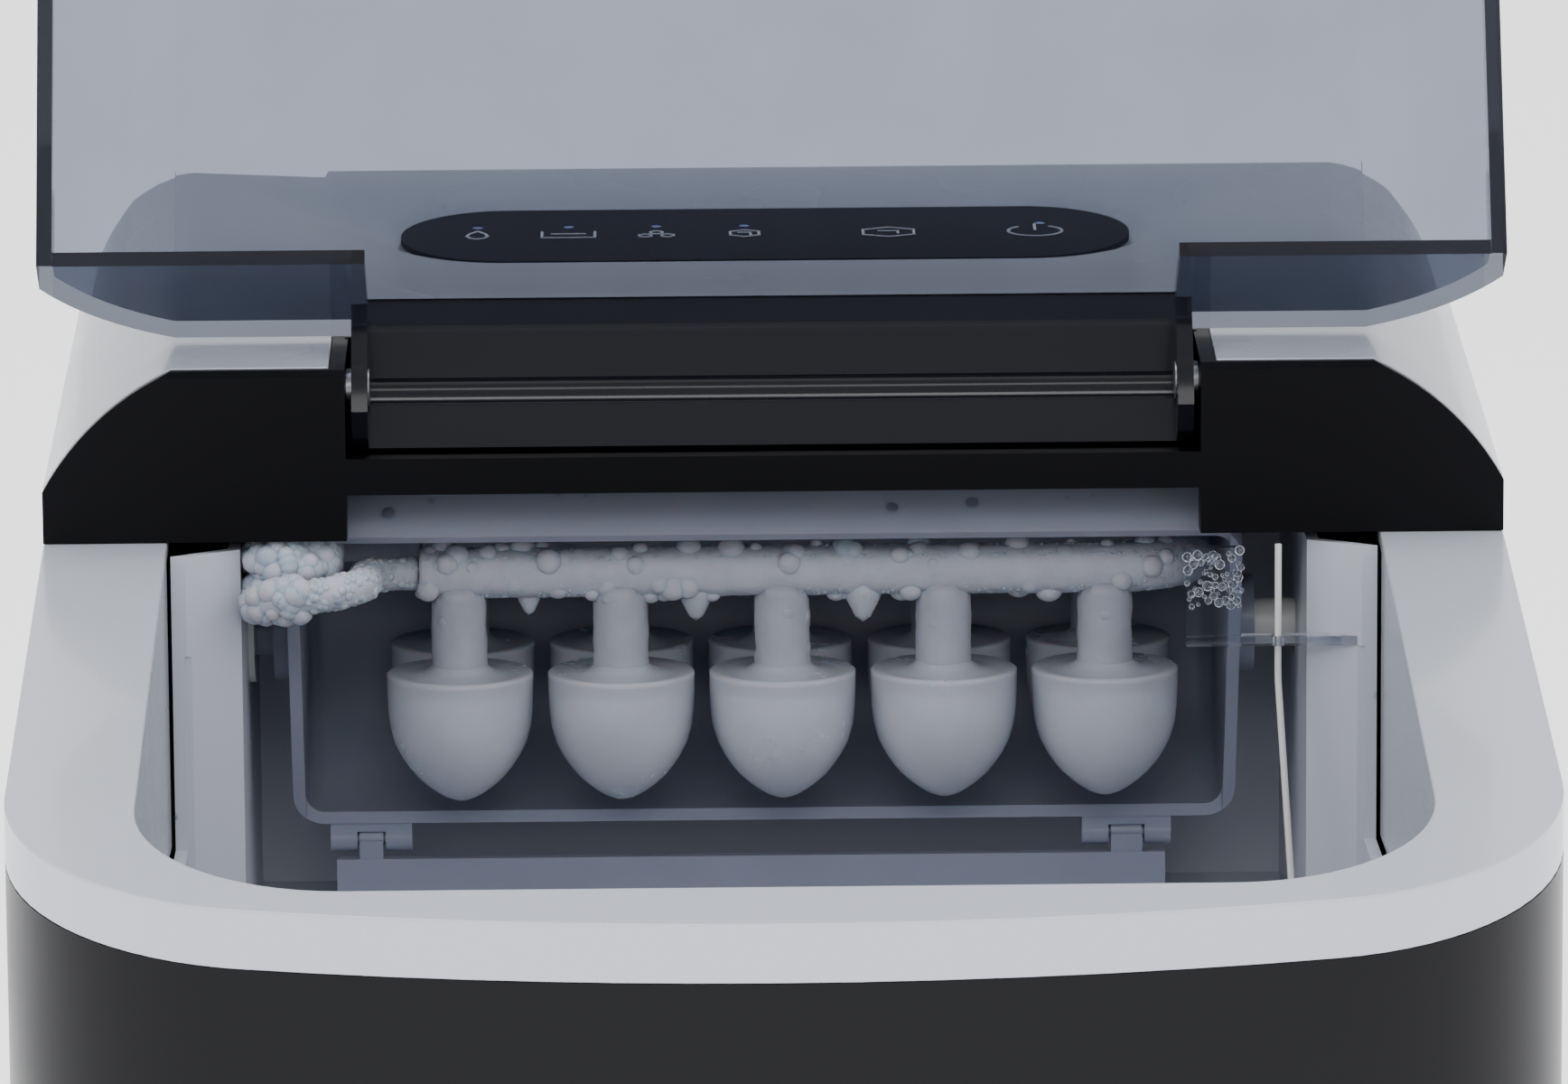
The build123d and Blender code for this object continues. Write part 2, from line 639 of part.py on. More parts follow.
with BuildPart() as trough_hollow:
    with BuildSketch(Plane.YZ.offset(TRAY_X[0] + TROUGH_WALL)):
        with BuildLine():
            inner_arc = trough_arc(TROUGH_R)
            Polyline(
                inner_arc @ 1,
                polar(TROUGH_R + 12, LIP_ANGLES[0]),
                polar(TROUGH_R + 12, LIP_ANGLES[1]),
                inner_arc @ 0,
            )
        make_face()
    extrude(amount=TRAY_X[1] - TRAY_X[0] - 2 * TROUGH_WALL)
    hollow_arcs = trough_hollow.edges().filter_by(GeomType.CIRCLE).filter_by(lambda e: e.length > TROUGH_R)
    fillet(hollow_arcs, LIP_CORNER_R - TROUGH_WALL)

with BuildPart() as water_tray:
    with BuildSketch(Plane.YZ.offset(TRAY_X[0])):
        with BuildLine():
            outer = trough_arc(TROUGH_R + TROUGH_WALL)
            Line(outer @ 1, outer @ 0)
        make_face()
    extrude(amount=TRAY_X[1] - TRAY_X[0])
    end_arcs = water_tray.edges().filter_by(GeomType.CIRCLE).filter_by(lambda e: e.length > TROUGH_R)
    fillet(end_arcs, LIP_CORNER_R)
    add(trough_hollow.part, mode=Mode.SUBTRACT)
    # trunnion bosses and the left journal
    with Locations((TRAY_X[0] - 1.25, PIVOT_Y, PIVOT_Z), (TRAY_X[1] + 1.5, PIVOT_Y, PIVOT_Z)):
        Cylinder(8, 3, rotation=(0, 90, 0))
    with Locations((TRAY_X[0] - 7.5, PIVOT_Y, PIVOT_Z)):
        Cylinder(4, 13, rotation=(0, 90, 0))
    # hooks under the lower lip, each with two ears for the pusher's pins
    for low_x, high_x in HOOKS:
        with Locations(((low_x + high_x) / 2, PIVOT_Y, PUSHER_Z + 2.4)):
            Box(high_x - low_x, 4, 3.6)
        with Locations((low_x + EAR / 2, PIVOT_Y, PUSHER_Z), (high_x - EAR / 2, PIVOT_Y, PUSHER_Z)):
            Cylinder(2.2, EAR, rotation=(0, 90, 0))
        with Locations(((low_x + high_x) / 2, PIVOT_Y, PUSHER_Z)):
            Cylinder(2.5, high_x - low_x - 2 * EAR, rotation=(0, 90, 0), mode=Mode.SUBTRACT)
            Cylinder(1.05, WIDTH, rotation=(0, 90, 0), mode=Mode.SUBTRACT)
save(water_tray, "water_tray")

with BuildPart() as tray_coupler:
    with Locations((TRAY_X[1] + 3 + 9, PIVOT_Y, PIVOT_Z)):
        Cylinder(4, 18, rotation=(0, 90, 0))
save(tray_coupler, "tray_coupler")

with BuildPart() as tray_bush:
    with Locations((-CHAMBER_X - 0.3, PIVOT_Y, PIVOT_Z)):
        Cylinder(7, 4.6, rotation=(0, 90, 0))
    with Locations((-CHAMBER_X + THIN + 0.5, PIVOT_Y, PIVOT_Z)):
        Cylinder(8.4, 1.0, rotation=(0, 90, 0))
    with Locations((-CHAMBER_X, PIVOT_Y, PIVOT_Z)):
        Cylinder(4 + RUN_CLEAR, 12, rotation=(0, 90, 0), mode=Mode.SUBTRACT)
save(tray_bush, "tray_bush")

with BuildPart() as tray_motor:
    with Locations((101.5, PIVOT_Y, PIVOT_Z)):
        Box(19, 40, 38)
    fillet(tray_motor.edges().filter_by(Axis.X), 5)
    with Locations((90.2, PIVOT_Y, PIVOT_Z)):
        Cylinder(9, 3.6, rotation=(0, 90, 0))
    with Locations((104, PIVOT_Y, PIVOT_Z - 22)):
        Box(10, 16, 8)
    with Locations((88, PIVOT_Y, PIVOT_Z)):
        Cylinder(4 + RUN_CLEAR, 20, rotation=(0, 90, 0), mode=Mode.SUBTRACT)
save(tray_motor, "tray_motor")

with BuildPart() as ice_pusher:
    with Locations(((HOOKS[0][0] + HOOKS[1][1]) / 2, PIVOT_Y - 1.8, PUSHER_Z - 9.5)):
        Box(HOOKS[1][1] - HOOKS[0][0] - 2, 2.2, 13)
    for low_x, high_x in HOOKS:
        middle_x = (low_x + high_x) / 2
        knuckle = high_x - low_x - 2 * EAR - 0.8
        with Locations((middle_x, PIVOT_Y, PUSHER_Z)):
            Cylinder(2.0, knuckle, rotation=(0, 90, 0))
            Cylinder(1.0, high_x - low_x - 1, rotation=(0, 90, 0))
        with Locations((middle_x, PIVOT_Y - 1.6, PUSHER_Z - 2.4)):
            Box(knuckle, 2.0, 4.8)
save(ice_pusher, "ice_pusher")

# ---------------------------------------------------------------- ice basket
BASKET_X = 85.0
BASKET_Y = (-139.0, -17.0)
BASKET_Z = (46.0, 200.0)
BAIL_Y = -78.0
BAIL_Z = 193.0
BAIL_R = 2.5
BAIL_REACH = 54.0

with BuildPart() as ice_basket:
    with BuildSketch(Plane.XY.offset(BASKET_Z[0])):
        add(opening_outline(BASKET_X, *BASKET_Y, 25))
    extrude(amount=BASKET_Z[1] - BASKET_Z[0])
    with BuildSketch(Plane.XY.offset(BASKET_Z[0] + THIN)):
        add(opening_outline(BASKET_X - THIN, BASKET_Y[0] + THIN, BASKET_Y[1] - THIN, 25 - THIN))
    extrude(amount=BASKET_Z[1], mode=Mode.SUBTRACT)
    # low back wall, under the chute
    with Locations((0, BASKET_Y[1], BASKET_Z[1])):
        Box(2 * BASKET_X - 20, 12, 48, mode=Mode.SUBTRACT)
    # drain slots in the floor and the sides
    with Locations(*[(x, y, BASKET_Z[0]) for x in range(-60, 61, 12) for y in (-110, -78, -46)]):
        Box(4, 22, 10, mode=Mode.SUBTRACT)
    with Locations(*[(0, y, 90) for y in range(-106, -35, 14)]):
        Box(2 * BASKET_X + 4, 4, 60, mode=Mode.SUBTRACT)
    with Locations(*[(x, y, TUB_FLOOR_Z + THIN) for x in (-70, 70) for y in (-104, -30)]):
        Cylinder(5, BASKET_Z[0] - TUB_FLOOR_Z, align=(Align.CENTER, Align.CENTER, Align.MIN))
    with Locations((0, BAIL_Y, BAIL_Z)):
        Cylinder(BAIL_R + RUN_CLEAR, WIDTH, rotation=(0, 90, 0), mode=Mode.SUBTRACT)
save(ice_basket, "ice_basket")

with BuildPart() as basket_handle:
    arm_x = BASKET_X - THIN - BAIL_R - 0.8
    add(
        pipe(
            [
                (-arm_x, BAIL_Y, BAIL_Z),
                (-arm_x, BAIL_Y - BAIL_REACH, BAIL_Z),
                (arm_x, BAIL_Y - BAIL_REACH, BAIL_Z),
                (arm_x, BAIL_Y, BAIL_Z),
            ],
            [20, 20],
            BAIL_R,
        )
    )
    for side in (-1, 1):
        with Locations((side * (arm_x + 3.6), BAIL_Y, BAIL_Z)):
            Cylinder(BAIL_R, 7.2, rotation=(0, 90, 0))
        with Locations((side * arm_x, BAIL_Y, BAIL_Z)):
            Sphere(BAIL_R)
save(basket_handle, "basket_handle")

# ---------------------------------------------------------------- refrigeration
COMP = (-55.0, 78.0)
COMP_R = 46.0

with BuildPart() as compressor:
    with Locations((*COMP, 26)):
        Cylinder(COMP_R, 120, align=(Align.CENTER, Align.CENTER, Align.MIN))
    fillet(compressor.edges().group_by(Axis.Z)[-1], 20)
    fillet(compressor.edges().group_by(Axis.Z)[0], 8)
    with Locations((*COMP, 86)):
        Cylinder(COMP_R + 1.5, 4)
    with BuildSketch(Plane.XY.offset(20)):
        with Locations(COMP):
            RectangleRounded(108, 84, 10)
    extrude(amount=6.5)
    with Locations(*[(COMP[0] + dx, COMP[1] + dy, 140) for dx, dy in ((-15, 0), (15, 22), (25, -3))]):
        Cylinder(3.4, 14, align=(Align.CENTER, Align.CENTER, Align.MIN))
    with Locations((COMP[0] + COMP_R - 2, COMP[1], 70)):
        Box(16, 34, 44)
    with Locations((*COMP, 29)):
        Cylinder(COMP_R - 3, 106, align=(Align.CENTER, Align.CENTER, Align.MIN), mode=Mode.SUBTRACT)
save(compressor, "compressor")

with BuildPart() as compressor_core:
    with Locations((*COMP, 29)):
        Cylinder(30, 62, align=(Align.CENTER, Align.CENTER, Align.MIN))
        Cylinder(20, 88, align=(Align.CENTER, Align.CENTER, Align.MIN))
save(compressor_core, "compressor_core")

with BuildPart() as compressor_grommets:
    with Locations(*[(COMP[0] + dx, COMP[1] + dy, FOOT_H + 1.5) for dx in (-44, 44) for dy in (-32, 32)]):
        Cylinder(8, 20 - FOOT_H - 1.5, align=(Align.CENTER, Align.CENTER, Align.MIN))
save(compressor_grommets, "compressor_grommets")

CONDENSER = (55.0, 134.0, 85.0)
with BuildPart() as condenser_fins:
    with Locations(CONDENSER):
        Box(86, 26, 104)
    gaps = [(CONDENSER[0], CONDENSER[1] + dy, 37 + 5 * k) for dy in (-10, 10) for k in range(20)]
    with Locations(*gaps):
        Box(82, 8, 3.4, mode=Mode.SUBTRACT)
save(condenser_fins, "condenser_fins")

with BuildPart() as condenser_bends:
    for side in (-1, 1):
        for row in range(4):
            z = 52 + 22 * row + (11 if side < 0 else 0)
            if z + 11 > 137:
                continue
            base_x = CONDENSER[0] + side * 43
            route = [
                (base_x, CONDENSER[1], z - 5.5),
                (base_x + side * 6, CONDENSER[1], z - 5.5),
                (base_x + side * 6, CONDENSER[1], z + 5.5),
                (base_x, CONDENSER[1], z + 5.5),
            ]
            add(pipe(route, [4, 4], 2.5))
save(condenser_bends, "condenser_bends")

FAN = (61.0, 108.0, 85.0)
FAN_R = 43.0
with BuildPart() as fan_shroud:
    with Locations(FAN):
        Box(100, 14, 100)
        Cylinder(FAN_R + 2, 20, rotation=(90, 0, 0), mode=Mode.SUBTRACT)
    with Locations((FAN[0], FAN[1] - 9, FAN[2])):
        Box(100, 4, 8)
        Box(8, 4, 100)
        Cylinder(14, 10, rotation=(90, 0, 0), mode=Mode.SUBTRACT)
        Cylinder(18, 4, rotation=(90, 0, 0))
        Cylinder(14, 10, rotation=(90, 0, 0), mode=Mode.SUBTRACT)
save(fan_shroud, "fan_shroud")

with BuildPart() as fan_motor:
    with Locations((FAN[0], FAN[1] - 17, FAN[2])):
        Cylinder(14, 20, rotation=(90, 0, 0))
        Cylinder(1.5 + RUN_CLEAR, 30, rotation=(90, 0, 0), mode=Mode.SUBTRACT)
save(fan_motor, "fan_motor")

with BuildPart() as fan_blades:
    with Locations((FAN[0], FAN[1], FAN[2])):
        Cylinder(13, 10, rotation=(90, 0, 0))
    with Locations((FAN[0], FAN[1] - 12, FAN[2])):
        Cylinder(1.5, 22, rotation=(90, 0, 0))
    for turn in range(5):
        outward = (sin(radians(72 * turn)), 0, cos(radians(72 * turn)))
        with BuildSketch(Plane(origin=FAN, z_dir=outward).offset(11)):
            Rectangle(1.8, 12.4, rotation=32)
        extrude(amount=FAN_R - 12)
save(fan_blades, "fan_blades")

with BuildPart() as suction_pipe:
    add(
        pipe(
            [
                (TUBE_END_X[0], ROW_Y[0], TUBE_Z),
                (-66.5, ROW_Y[0], TUBE_Z),
                (-66.5, -11.5, 257.0),
                (-83, -8, 253.8),
                (-83, 78, 253.8),
                (-83, 78, 190),
                (COMP[0] - 15, 78, 170),
                (COMP[0] - 15, 78, 154),
            ],
            [6, 6, 5, 10, 10, 8],
            PIPE_R,
        )
    )
save(suction_pipe, "suction_pipe")

with BuildPart() as feed_pipe:
    add(
        pipe(
            [
                (TUBE_END_X[0], ROW_Y[1], TUBE_Z),
                (-74.2, ROW_Y[1], TUBE_Z),
                (-74.2, -4, 259.5),
                (-83, -3, 259.6),
                (-83, 98, 259.6),
                (-83, 98, 206),
            ],
            [8, 4, 3.6, 10],
            PIPE_R,
        )
    )
save(feed_pipe, "feed_pipe")

with BuildPart() as solenoid_valve:
    with Locations((-83, 98, 198)):
        Cylinder(7, 16)
    with Locations((-83, 112, 198)):
        Cylinder(5, 22, rotation=(90, 0, 0))
    with Locations((-83, 122, 198)):
        Box(24, 16, 20)
save(solenoid_valve, "solenoid_valve")

with BuildPart() as hot_gas_pipe:
    add(
        pipe(
            [
                (COMP[0] + 15, COMP[1] + 22, 154),
                (COMP[0] + 15, COMP[1] + 22, 172),
                (-83, 98, 176),
                (-83, 98, 190),
            ],
            [7, 6],
            PIPE_R,
        )
    )
save(hot_gas_pipe, "hot_gas_pipe")

with BuildPart() as discharge_pipe:
    add(
        pipe(
            [
                (COMP[0] + 25, COMP[1] - 3, 154),
                (COMP[0] + 25, COMP[1] - 3, 168),
                (24, CONDENSER[1], 168),
                (24, CONDENSER[1], 137),
            ],
            [7, 10],
            PIPE_R,
        )
    )
save(discharge_pipe, "discharge_pipe")

with BuildPart() as filter_drier:
    with Locations((-14, 144, 110)):
        Cylinder(8, 46)
    fillet(filter_drier.edges().filter_by(GeomType.CIRCLE), 4)
save(filter_drier, "filter_drier")

with BuildPart() as capillary_tube:
    to_drier = [(24, 148, 60), (24, 153, 60), (-14, 153, 60), (-14, 144, 70), (-14, 144, 87)]
    to_fingers = [(-14, 144, 133), (-14, 144, 184), (-58, 100, 184), (-66, 98, 198), (-76, 98, 198)]
    add(pipe(to_drier, [3, 6, 6], 1.2))
    add(pipe(to_fingers, [12, 4, 4], 1.2))
save(capillary_tube, "capillary_tube")

# ---------------------------------------------------------------- water side
PUMP = (58.0, 1.0, 50.0)
with BuildPart() as water_pump:
    with Locations((PUMP[0], PUMP[1], PUMP[2])):
        Cylinder(20, 10, rotation=(90, 0, 0))
    with Locations((PUMP[0], PUMP[1] + 21, PUMP[2])):
        Cylinder(17, 32, rotation=(90, 0, 0))
    with Locations((PUMP[0], PUMP[1] - 6.5, PUMP[2])):
        Cylinder(5, 5, rotation=(90, 0, 0))
    with Locations((PUMP[0], PUMP[1], PUMP[2] + 24)):
        Cylinder(4, 12)
    with Locations((PUMP[0], PUMP[1] - 0.25, PUMP[2])):
        Cylinder(16.5, 5.5, rotation=(90, 0, 0), mode=Mode.SUBTRACT)
    with Locations((PUMP[0], PUMP[1] - 6, PUMP[2])):
        Cylinder(3.5, 12, rotation=(90, 0, 0), mode=Mode.SUBTRACT)
    with Locations((PUMP[0], PUMP[1] + 8, PUMP[2])):
        Cylinder(1.5 + RUN_CLEAR, 16, rotation=(90, 0, 0), mode=Mode.SUBTRACT)
    with Locations((PUMP[0], PUMP[1] - 0.25, PUMP[2] + 20)):
        Cylinder(2, 30, mode=Mode.SUBTRACT)
save(water_pump, "water_pump")

with BuildPart() as pump_impeller:
    with Locations((PUMP[0], PUMP[1] + 1, PUMP[2])):
        Cylinder(15, 1.6, rotation=(90, 0, 0))
    with Locations((PUMP[0], PUMP[1] + 6, PUMP[2])):
        Cylinder(1.5, 11, rotation=(90, 0, 0))
    with BuildSketch(Plane.XZ.offset(-PUMP[1] - 0.4)):
        with Locations((PUMP[0], PUMP[2])):
            with PolarLocations(8.5, 6):
                Rectangle(11, 1.4)
    extrude(amount=2.2)
save(pump_impeller, "pump_impeller")

with BuildPart() as pump_hose:
    add(
        pipe(
            [
                (PUMP[0], PUMP[1], PUMP[2] + 30),
                (PUMP[0], PUMP[1], 130),
                (98, 30, 160),
                (98, 57, 196),
                (98, 57, 282),
                (70, 57, 282),
                (70, 34, 282),
                (70, 34, 275.8),
            ],
            [25, 18, 20, 9, 8, 5],
            3.5,
            2.4,
        )
    )
save(pump_hose, "pump_hose")

with BuildPart() as drain_fitting:
    with BuildSketch(Plane.XY.offset(DRAIN_Z)):
        with BuildLine():
            Polyline(
                (-TUB_X + THIN, DRAIN_Y + 4),
                (-TUB_X + THIN, DRAIN_Y + 6),
                (-109.5, DRAIN_Y + 6),
                (-109.5, DRAIN_Y + 12.8),
                (-HALF + 0.2, DRAIN_Y + 12.8),
                (-HALF + 0.2, DRAIN_Y + 11),
                (-111.3, DRAIN_Y + 11),
                (-111.3, DRAIN_Y + 6),
                (-112.8, DRAIN_Y + 6),
                (-112.8, DRAIN_Y + 4),
                close=True,
            )
        make_face()
    revolve(axis=Axis((0, DRAIN_Y, DRAIN_Z), (1, 0, 0)))
save(drain_fitting, "drain_fitting")

with BuildPart() as drain_cap:
    with Locations((-108.5, DRAIN_Y, DRAIN_Z)):
        Cylinder(4 - RUN_CLEAR, 10, rotation=(0, 90, 0))
    with Locations((-115.3, DRAIN_Y, DRAIN_Z)):
        Cylinder(9, 4.4, rotation=(0, 90, 0))
    grips = [(9 * sin(radians(a)), 9 * cos(radians(a))) for a in range(0, 360, 45)]
    with Locations(*[(-117.5, DRAIN_Y + dy, DRAIN_Z + dz) for dy, dz in grips]):
        Cylinder(1.2, 12, rotation=(0, 90, 0), mode=Mode.SUBTRACT)
save(drain_cap, "drain_cap")

# ---------------------------------------------------------------- electrics
with BuildPart() as main_board:
    with Locations((106, 42, 112)):
        Box(1.6, 68, 84)
    with Locations((97, 28, 132)):
        Box(17, 24, 22)
    with Locations((98.5, 60, 130), (98.5, 60, 108)):
        Box(14, 14, 12)
    with Locations((98, 26, 100), (98, 42, 90)):
        Cylinder(6, 15, rotation=(0, 90, 0))
    with Locations((101, 62, 82)):
        Box(9, 20, 8)
save(main_board, "main_board")

with BuildPart() as power_inlet:
    with Locations((INLET[0], 152, INLET[1])):
        Box(27, 15.6, 20)
    with Locations((INLET[0], 155.9, INLET[1])):
        Box(22, 12, 15, mode=Mode.SUBTRACT)
    with Locations((INLET[0], 156.2, INLET[1])):
        Box(38, 2, 24)
        Box(22, 12, 15, mode=Mode.SUBTRACT)
save(power_inlet, "power_inlet")

with BuildPart() as inlet_pins:
    pins = ((-6.5, -1.5), (0, 2.5), (6.5, -1.5))
    with Locations(*[(INLET[0] + dx, 152.2, INLET[1] + dz) for dx, dz in pins]):
        Box(2, 4.6, 4)
save(inlet_pins, "inlet_pins")

with BuildPart() as panel_screws:
    with Locations(*[(x, REAR_Y - 1.3, z) for x, z in PANEL_SCREWS]):
        Cylinder(3.0, 2.2, rotation=(90, 0, 0))
    with Locations(*[(x, REAR_Y - 7, z) for x, z in PANEL_SCREWS]):
        Cylinder(1.6, 10, rotation=(90, 0, 0))
save(panel_screws, "panel_screws")
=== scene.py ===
"""Looks of a countertop bullet-ice maker: moulded shells, clear lid, tipping tray, frost, ice and studio."""
import json
import math

import bmesh
import bpy
from mathutils import Matrix, Vector

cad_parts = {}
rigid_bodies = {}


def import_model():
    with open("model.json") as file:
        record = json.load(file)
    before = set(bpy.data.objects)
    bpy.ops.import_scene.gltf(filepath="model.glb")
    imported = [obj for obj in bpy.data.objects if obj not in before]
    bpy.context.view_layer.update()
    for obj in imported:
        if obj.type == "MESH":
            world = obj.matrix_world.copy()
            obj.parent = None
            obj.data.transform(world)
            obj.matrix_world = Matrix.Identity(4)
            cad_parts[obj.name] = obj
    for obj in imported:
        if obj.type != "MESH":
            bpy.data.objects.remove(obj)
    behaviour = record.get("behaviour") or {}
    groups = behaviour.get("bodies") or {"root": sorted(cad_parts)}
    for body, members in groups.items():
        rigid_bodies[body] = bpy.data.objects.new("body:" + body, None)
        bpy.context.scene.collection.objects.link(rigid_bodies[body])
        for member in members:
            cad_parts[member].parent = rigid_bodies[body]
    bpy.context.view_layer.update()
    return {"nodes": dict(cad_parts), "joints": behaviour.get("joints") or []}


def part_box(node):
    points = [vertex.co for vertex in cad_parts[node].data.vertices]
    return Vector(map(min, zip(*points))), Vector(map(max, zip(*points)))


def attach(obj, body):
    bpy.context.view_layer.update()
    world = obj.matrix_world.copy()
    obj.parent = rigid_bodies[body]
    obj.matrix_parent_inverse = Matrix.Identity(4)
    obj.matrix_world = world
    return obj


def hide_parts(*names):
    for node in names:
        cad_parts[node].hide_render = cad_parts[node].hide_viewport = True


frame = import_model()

bl_info = {
    "name": "Ice maker looks",
    "version": (1, 0, 0),
    "blender": (4, 5, 0),
    "location": "View3D > Sidebar > Ice maker",
    "description": "Builds the finishes, frost, ice and studio of a countertop ice maker",
    "category": "Object",
}

MM = 0.001
RIM_SLOPE = 10.5            # degrees, the fall of the rim from the hinge to the front
TONGUE_INNER = 64 * MM      # the side walls of the lid's tongue lie between these distances from the middle
TONGUE_OUTER = 69 * MM
FINE_SKIN = 0.8 * MM        # grid of a skin that shows
COARSE_SKIN = 1.2 * MM      # grid of a skin that only carries grains
FROST_BACK = 20 * MM        # loose frost and drops stay in front of this depth
BULLET_COLUMNS = 5
BULLET_ROWS = 2
BULLET_RADIUS = 12 * MM
BULLET_SHAPE = (            # share of the height, share of the radius
    (0.013, 0.1), (0.04, 0.225), (0.08, 0.34), (0.13, 0.46), (0.2, 0.6), (0.28, 0.715), (0.36, 0.81),
    (0.46, 0.9), (0.59, 0.965), (0.72, 0.99), (0.87, 1.0), (0.97, 1.0))
DRIPS = ((-12.6, 16, 3.4), (14.8, 16, 3.8), (-40, 17, 2.4))     # across, depth and radius in millimetres
ICON_FORWARD = 2 * MM       # the icons sit this far in front of the panel's middle
INK_RISE = (0.02 * MM, 0.1 * MM)                                # underside and top of the ink above the panel


# ---------------------------------------------------------------- colours and materials

def lin(red, green, blue, alpha=1.0):
    """A display colour in 0 to 255 as linear light."""
    def channel(value):
        value /= 255
        return value / 12.92 if value <= 0.04045 else ((value + 0.055) / 1.055) ** 2.4
    return (channel(red), channel(green), channel(blue), alpha)


def new_material(name):
    """An empty node material with its output, its Principled shader and Object coordinates."""
    material = bpy.data.materials.new(name)
    material.use_nodes = True
    tree = material.node_tree
    tree.nodes.clear()
    output = tree.nodes.new("ShaderNodeOutputMaterial")
    shader = tree.nodes.new("ShaderNodeBsdfPrincipled")
    coords = tree.nodes.new("ShaderNodeTexCoord")
    output.location = (600, 0)
    shader.location = (300, 0)
    coords.location = (-900, 0)
    tree.links.new(shader.outputs["BSDF"], output.inputs["Surface"])
    return material, tree, shader, coords


def noise(tree, coords, scale, detail=3.0, roughness=0.5, stretch=None):
    """A noise texture on Object coordinates; scale counts features in a metre."""
    node = tree.nodes.new("ShaderNodeTexNoise")
    node.inputs["Scale"].default_value = scale
    node.inputs["Detail"].default_value = detail
    node.inputs["Roughness"].default_value = roughness
    source = coords.outputs["Object"]
    if stretch:
        mapping = tree.nodes.new("ShaderNodeMapping")
        mapping.inputs["Scale"].default_value = stretch
        tree.links.new(source, mapping.inputs["Vector"])
        source = mapping.outputs["Vector"]
    tree.links.new(source, node.inputs["Vector"])
    return node


def spread(tree, value, low, high, start=0.3, end=0.7):
    """Maps a 0 to 1 value from start..end to low..high."""
    node = tree.nodes.new("ShaderNodeMapRange")
    node.inputs["From Min"].default_value = start
    node.inputs["From Max"].default_value = end
    node.inputs["To Min"].default_value = low
    node.inputs["To Max"].default_value = high
    tree.links.new(value, node.inputs["Value"])
    return node.outputs["Result"]


def two_tone(tree, value, first, second, start=0.3, end=0.7):
    """A colour that runs from first to second."""
    node = tree.nodes.new("ShaderNodeValToRGB")
    node.color_ramp.elements[0].position = start
    node.color_ramp.elements[0].color = first
    node.color_ramp.elements[1].position = end
    node.color_ramp.elements[1].color = second
    tree.links.new(value, node.inputs["Fac"])
    return node.outputs["Color"]


def bumps(tree, shader, height, strength, distance):
    """Fine relief from a height value; distance is in metres."""
    node = tree.nodes.new("ShaderNodeBump")
    node.inputs["Strength"].default_value = strength
    node.inputs["Distance"].default_value = distance
    tree.links.new(height, node.inputs["Height"])
    tree.links.new(node.outputs["Normal"], shader.inputs["Normal"])
    return node


def moulded(name, colour, rough, grain=1400, relief=0.15, depth=0.05 * MM, wander=0.04, coat=0.0,
            specular=0.5, mottle=0.06):
    """Moulded plastic: faint colour drift, uneven gloss and a fine skin."""
    material, tree, shader, coords = new_material(name)
    drift = noise(tree, coords, 22, 2)
    skin = noise(tree, coords, grain, 2)
    darker = tuple(c * (1 - mottle) for c in colour[:3]) + (1,)
    tree.links.new(two_tone(tree, drift.outputs["Fac"], darker, colour), shader.inputs["Base Color"])
    tree.links.new(spread(tree, drift.outputs["Fac"], rough - wander, rough + wander),
                   shader.inputs["Roughness"])
    bumps(tree, shader, skin.outputs["Fac"], relief, depth)
    shader.inputs["Coat Weight"].default_value = coat
    shader.inputs["Coat Roughness"].default_value = 0.08
    shader.inputs["Specular IOR Level"].default_value = specular
    return material


def clear(name, colour, rough, through=1.0, ior=1.49, relief=0.03, grain=180, haze=0.0):
    """Clear or milky moulding: light passes through, with slight waviness in the skin."""
    material, tree, shader, coords = new_material(name)
    wave = noise(tree, coords, grain, 2)
    paler = tuple(min(1, c * 1.06) for c in colour[:3]) + (1,)
    tree.links.new(two_tone(tree, wave.outputs["Fac"], colour, paler), shader.inputs["Base Color"])
    tree.links.new(spread(tree, wave.outputs["Fac"], rough, rough + 0.03), shader.inputs["Roughness"])
    bumps(tree, shader, wave.outputs["Fac"], relief, 0.1 * MM)
    shader.inputs["Transmission Weight"].default_value = through
    shader.inputs["IOR"].default_value = ior
    shader.inputs["Subsurface Weight"].default_value = haze
    shader.inputs["Subsurface Scale"].default_value = 4 * MM
    return material


def metal(name, colour, rough, brush=(1, 1, 1), grain=600, relief=0.1, metallic=1.0):
    """Drawn, rolled or plated metal with tarnish and draw lines."""
    material, tree, shader, coords = new_material(name)
    lines = noise(tree, coords, grain, 4, 0.6, brush)
    tarnish = noise(tree, coords, 35, 4)
    dull = tuple(c * 0.72 for c in colour[:3]) + (1,)
    tree.links.new(two_tone(tree, tarnish.outputs["Fac"], dull, colour), shader.inputs["Base Color"])
    tree.links.new(spread(tree, lines.outputs["Fac"], rough - 0.08, rough + 0.1), shader.inputs["Roughness"])
    bumps(tree, shader, lines.outputs["Fac"], relief, 0.05 * MM)
    shader.inputs["Metallic"].default_value = metallic
    return material


def icy(name, colour, rough, through, grain, relief, depth, haze):
    """Ice or frost: cloudy, with a crystalline skin."""
    material, tree, shader, coords = new_material(name)
    cloud = noise(tree, coords, grain, 5, 0.6)
    fine = noise(tree, coords, grain * 5, 3)
    white = tuple(min(1, c * 1.12) for c in colour[:3]) + (1,)
    tree.links.new(two_tone(tree, cloud.outputs["Fac"], colour, white), shader.inputs["Base Color"])
    tree.links.new(spread(tree, cloud.outputs["Fac"], rough, rough + 0.15), shader.inputs["Roughness"])
    bumps(tree, shader, fine.outputs["Fac"], relief, depth)
    shader.inputs["Transmission Weight"].default_value = through
    shader.inputs["IOR"].default_value = 1.31
    shader.inputs["Subsurface Weight"].default_value = haze
    shader.inputs["Subsurface Scale"].default_value = 3 * MM
    return material


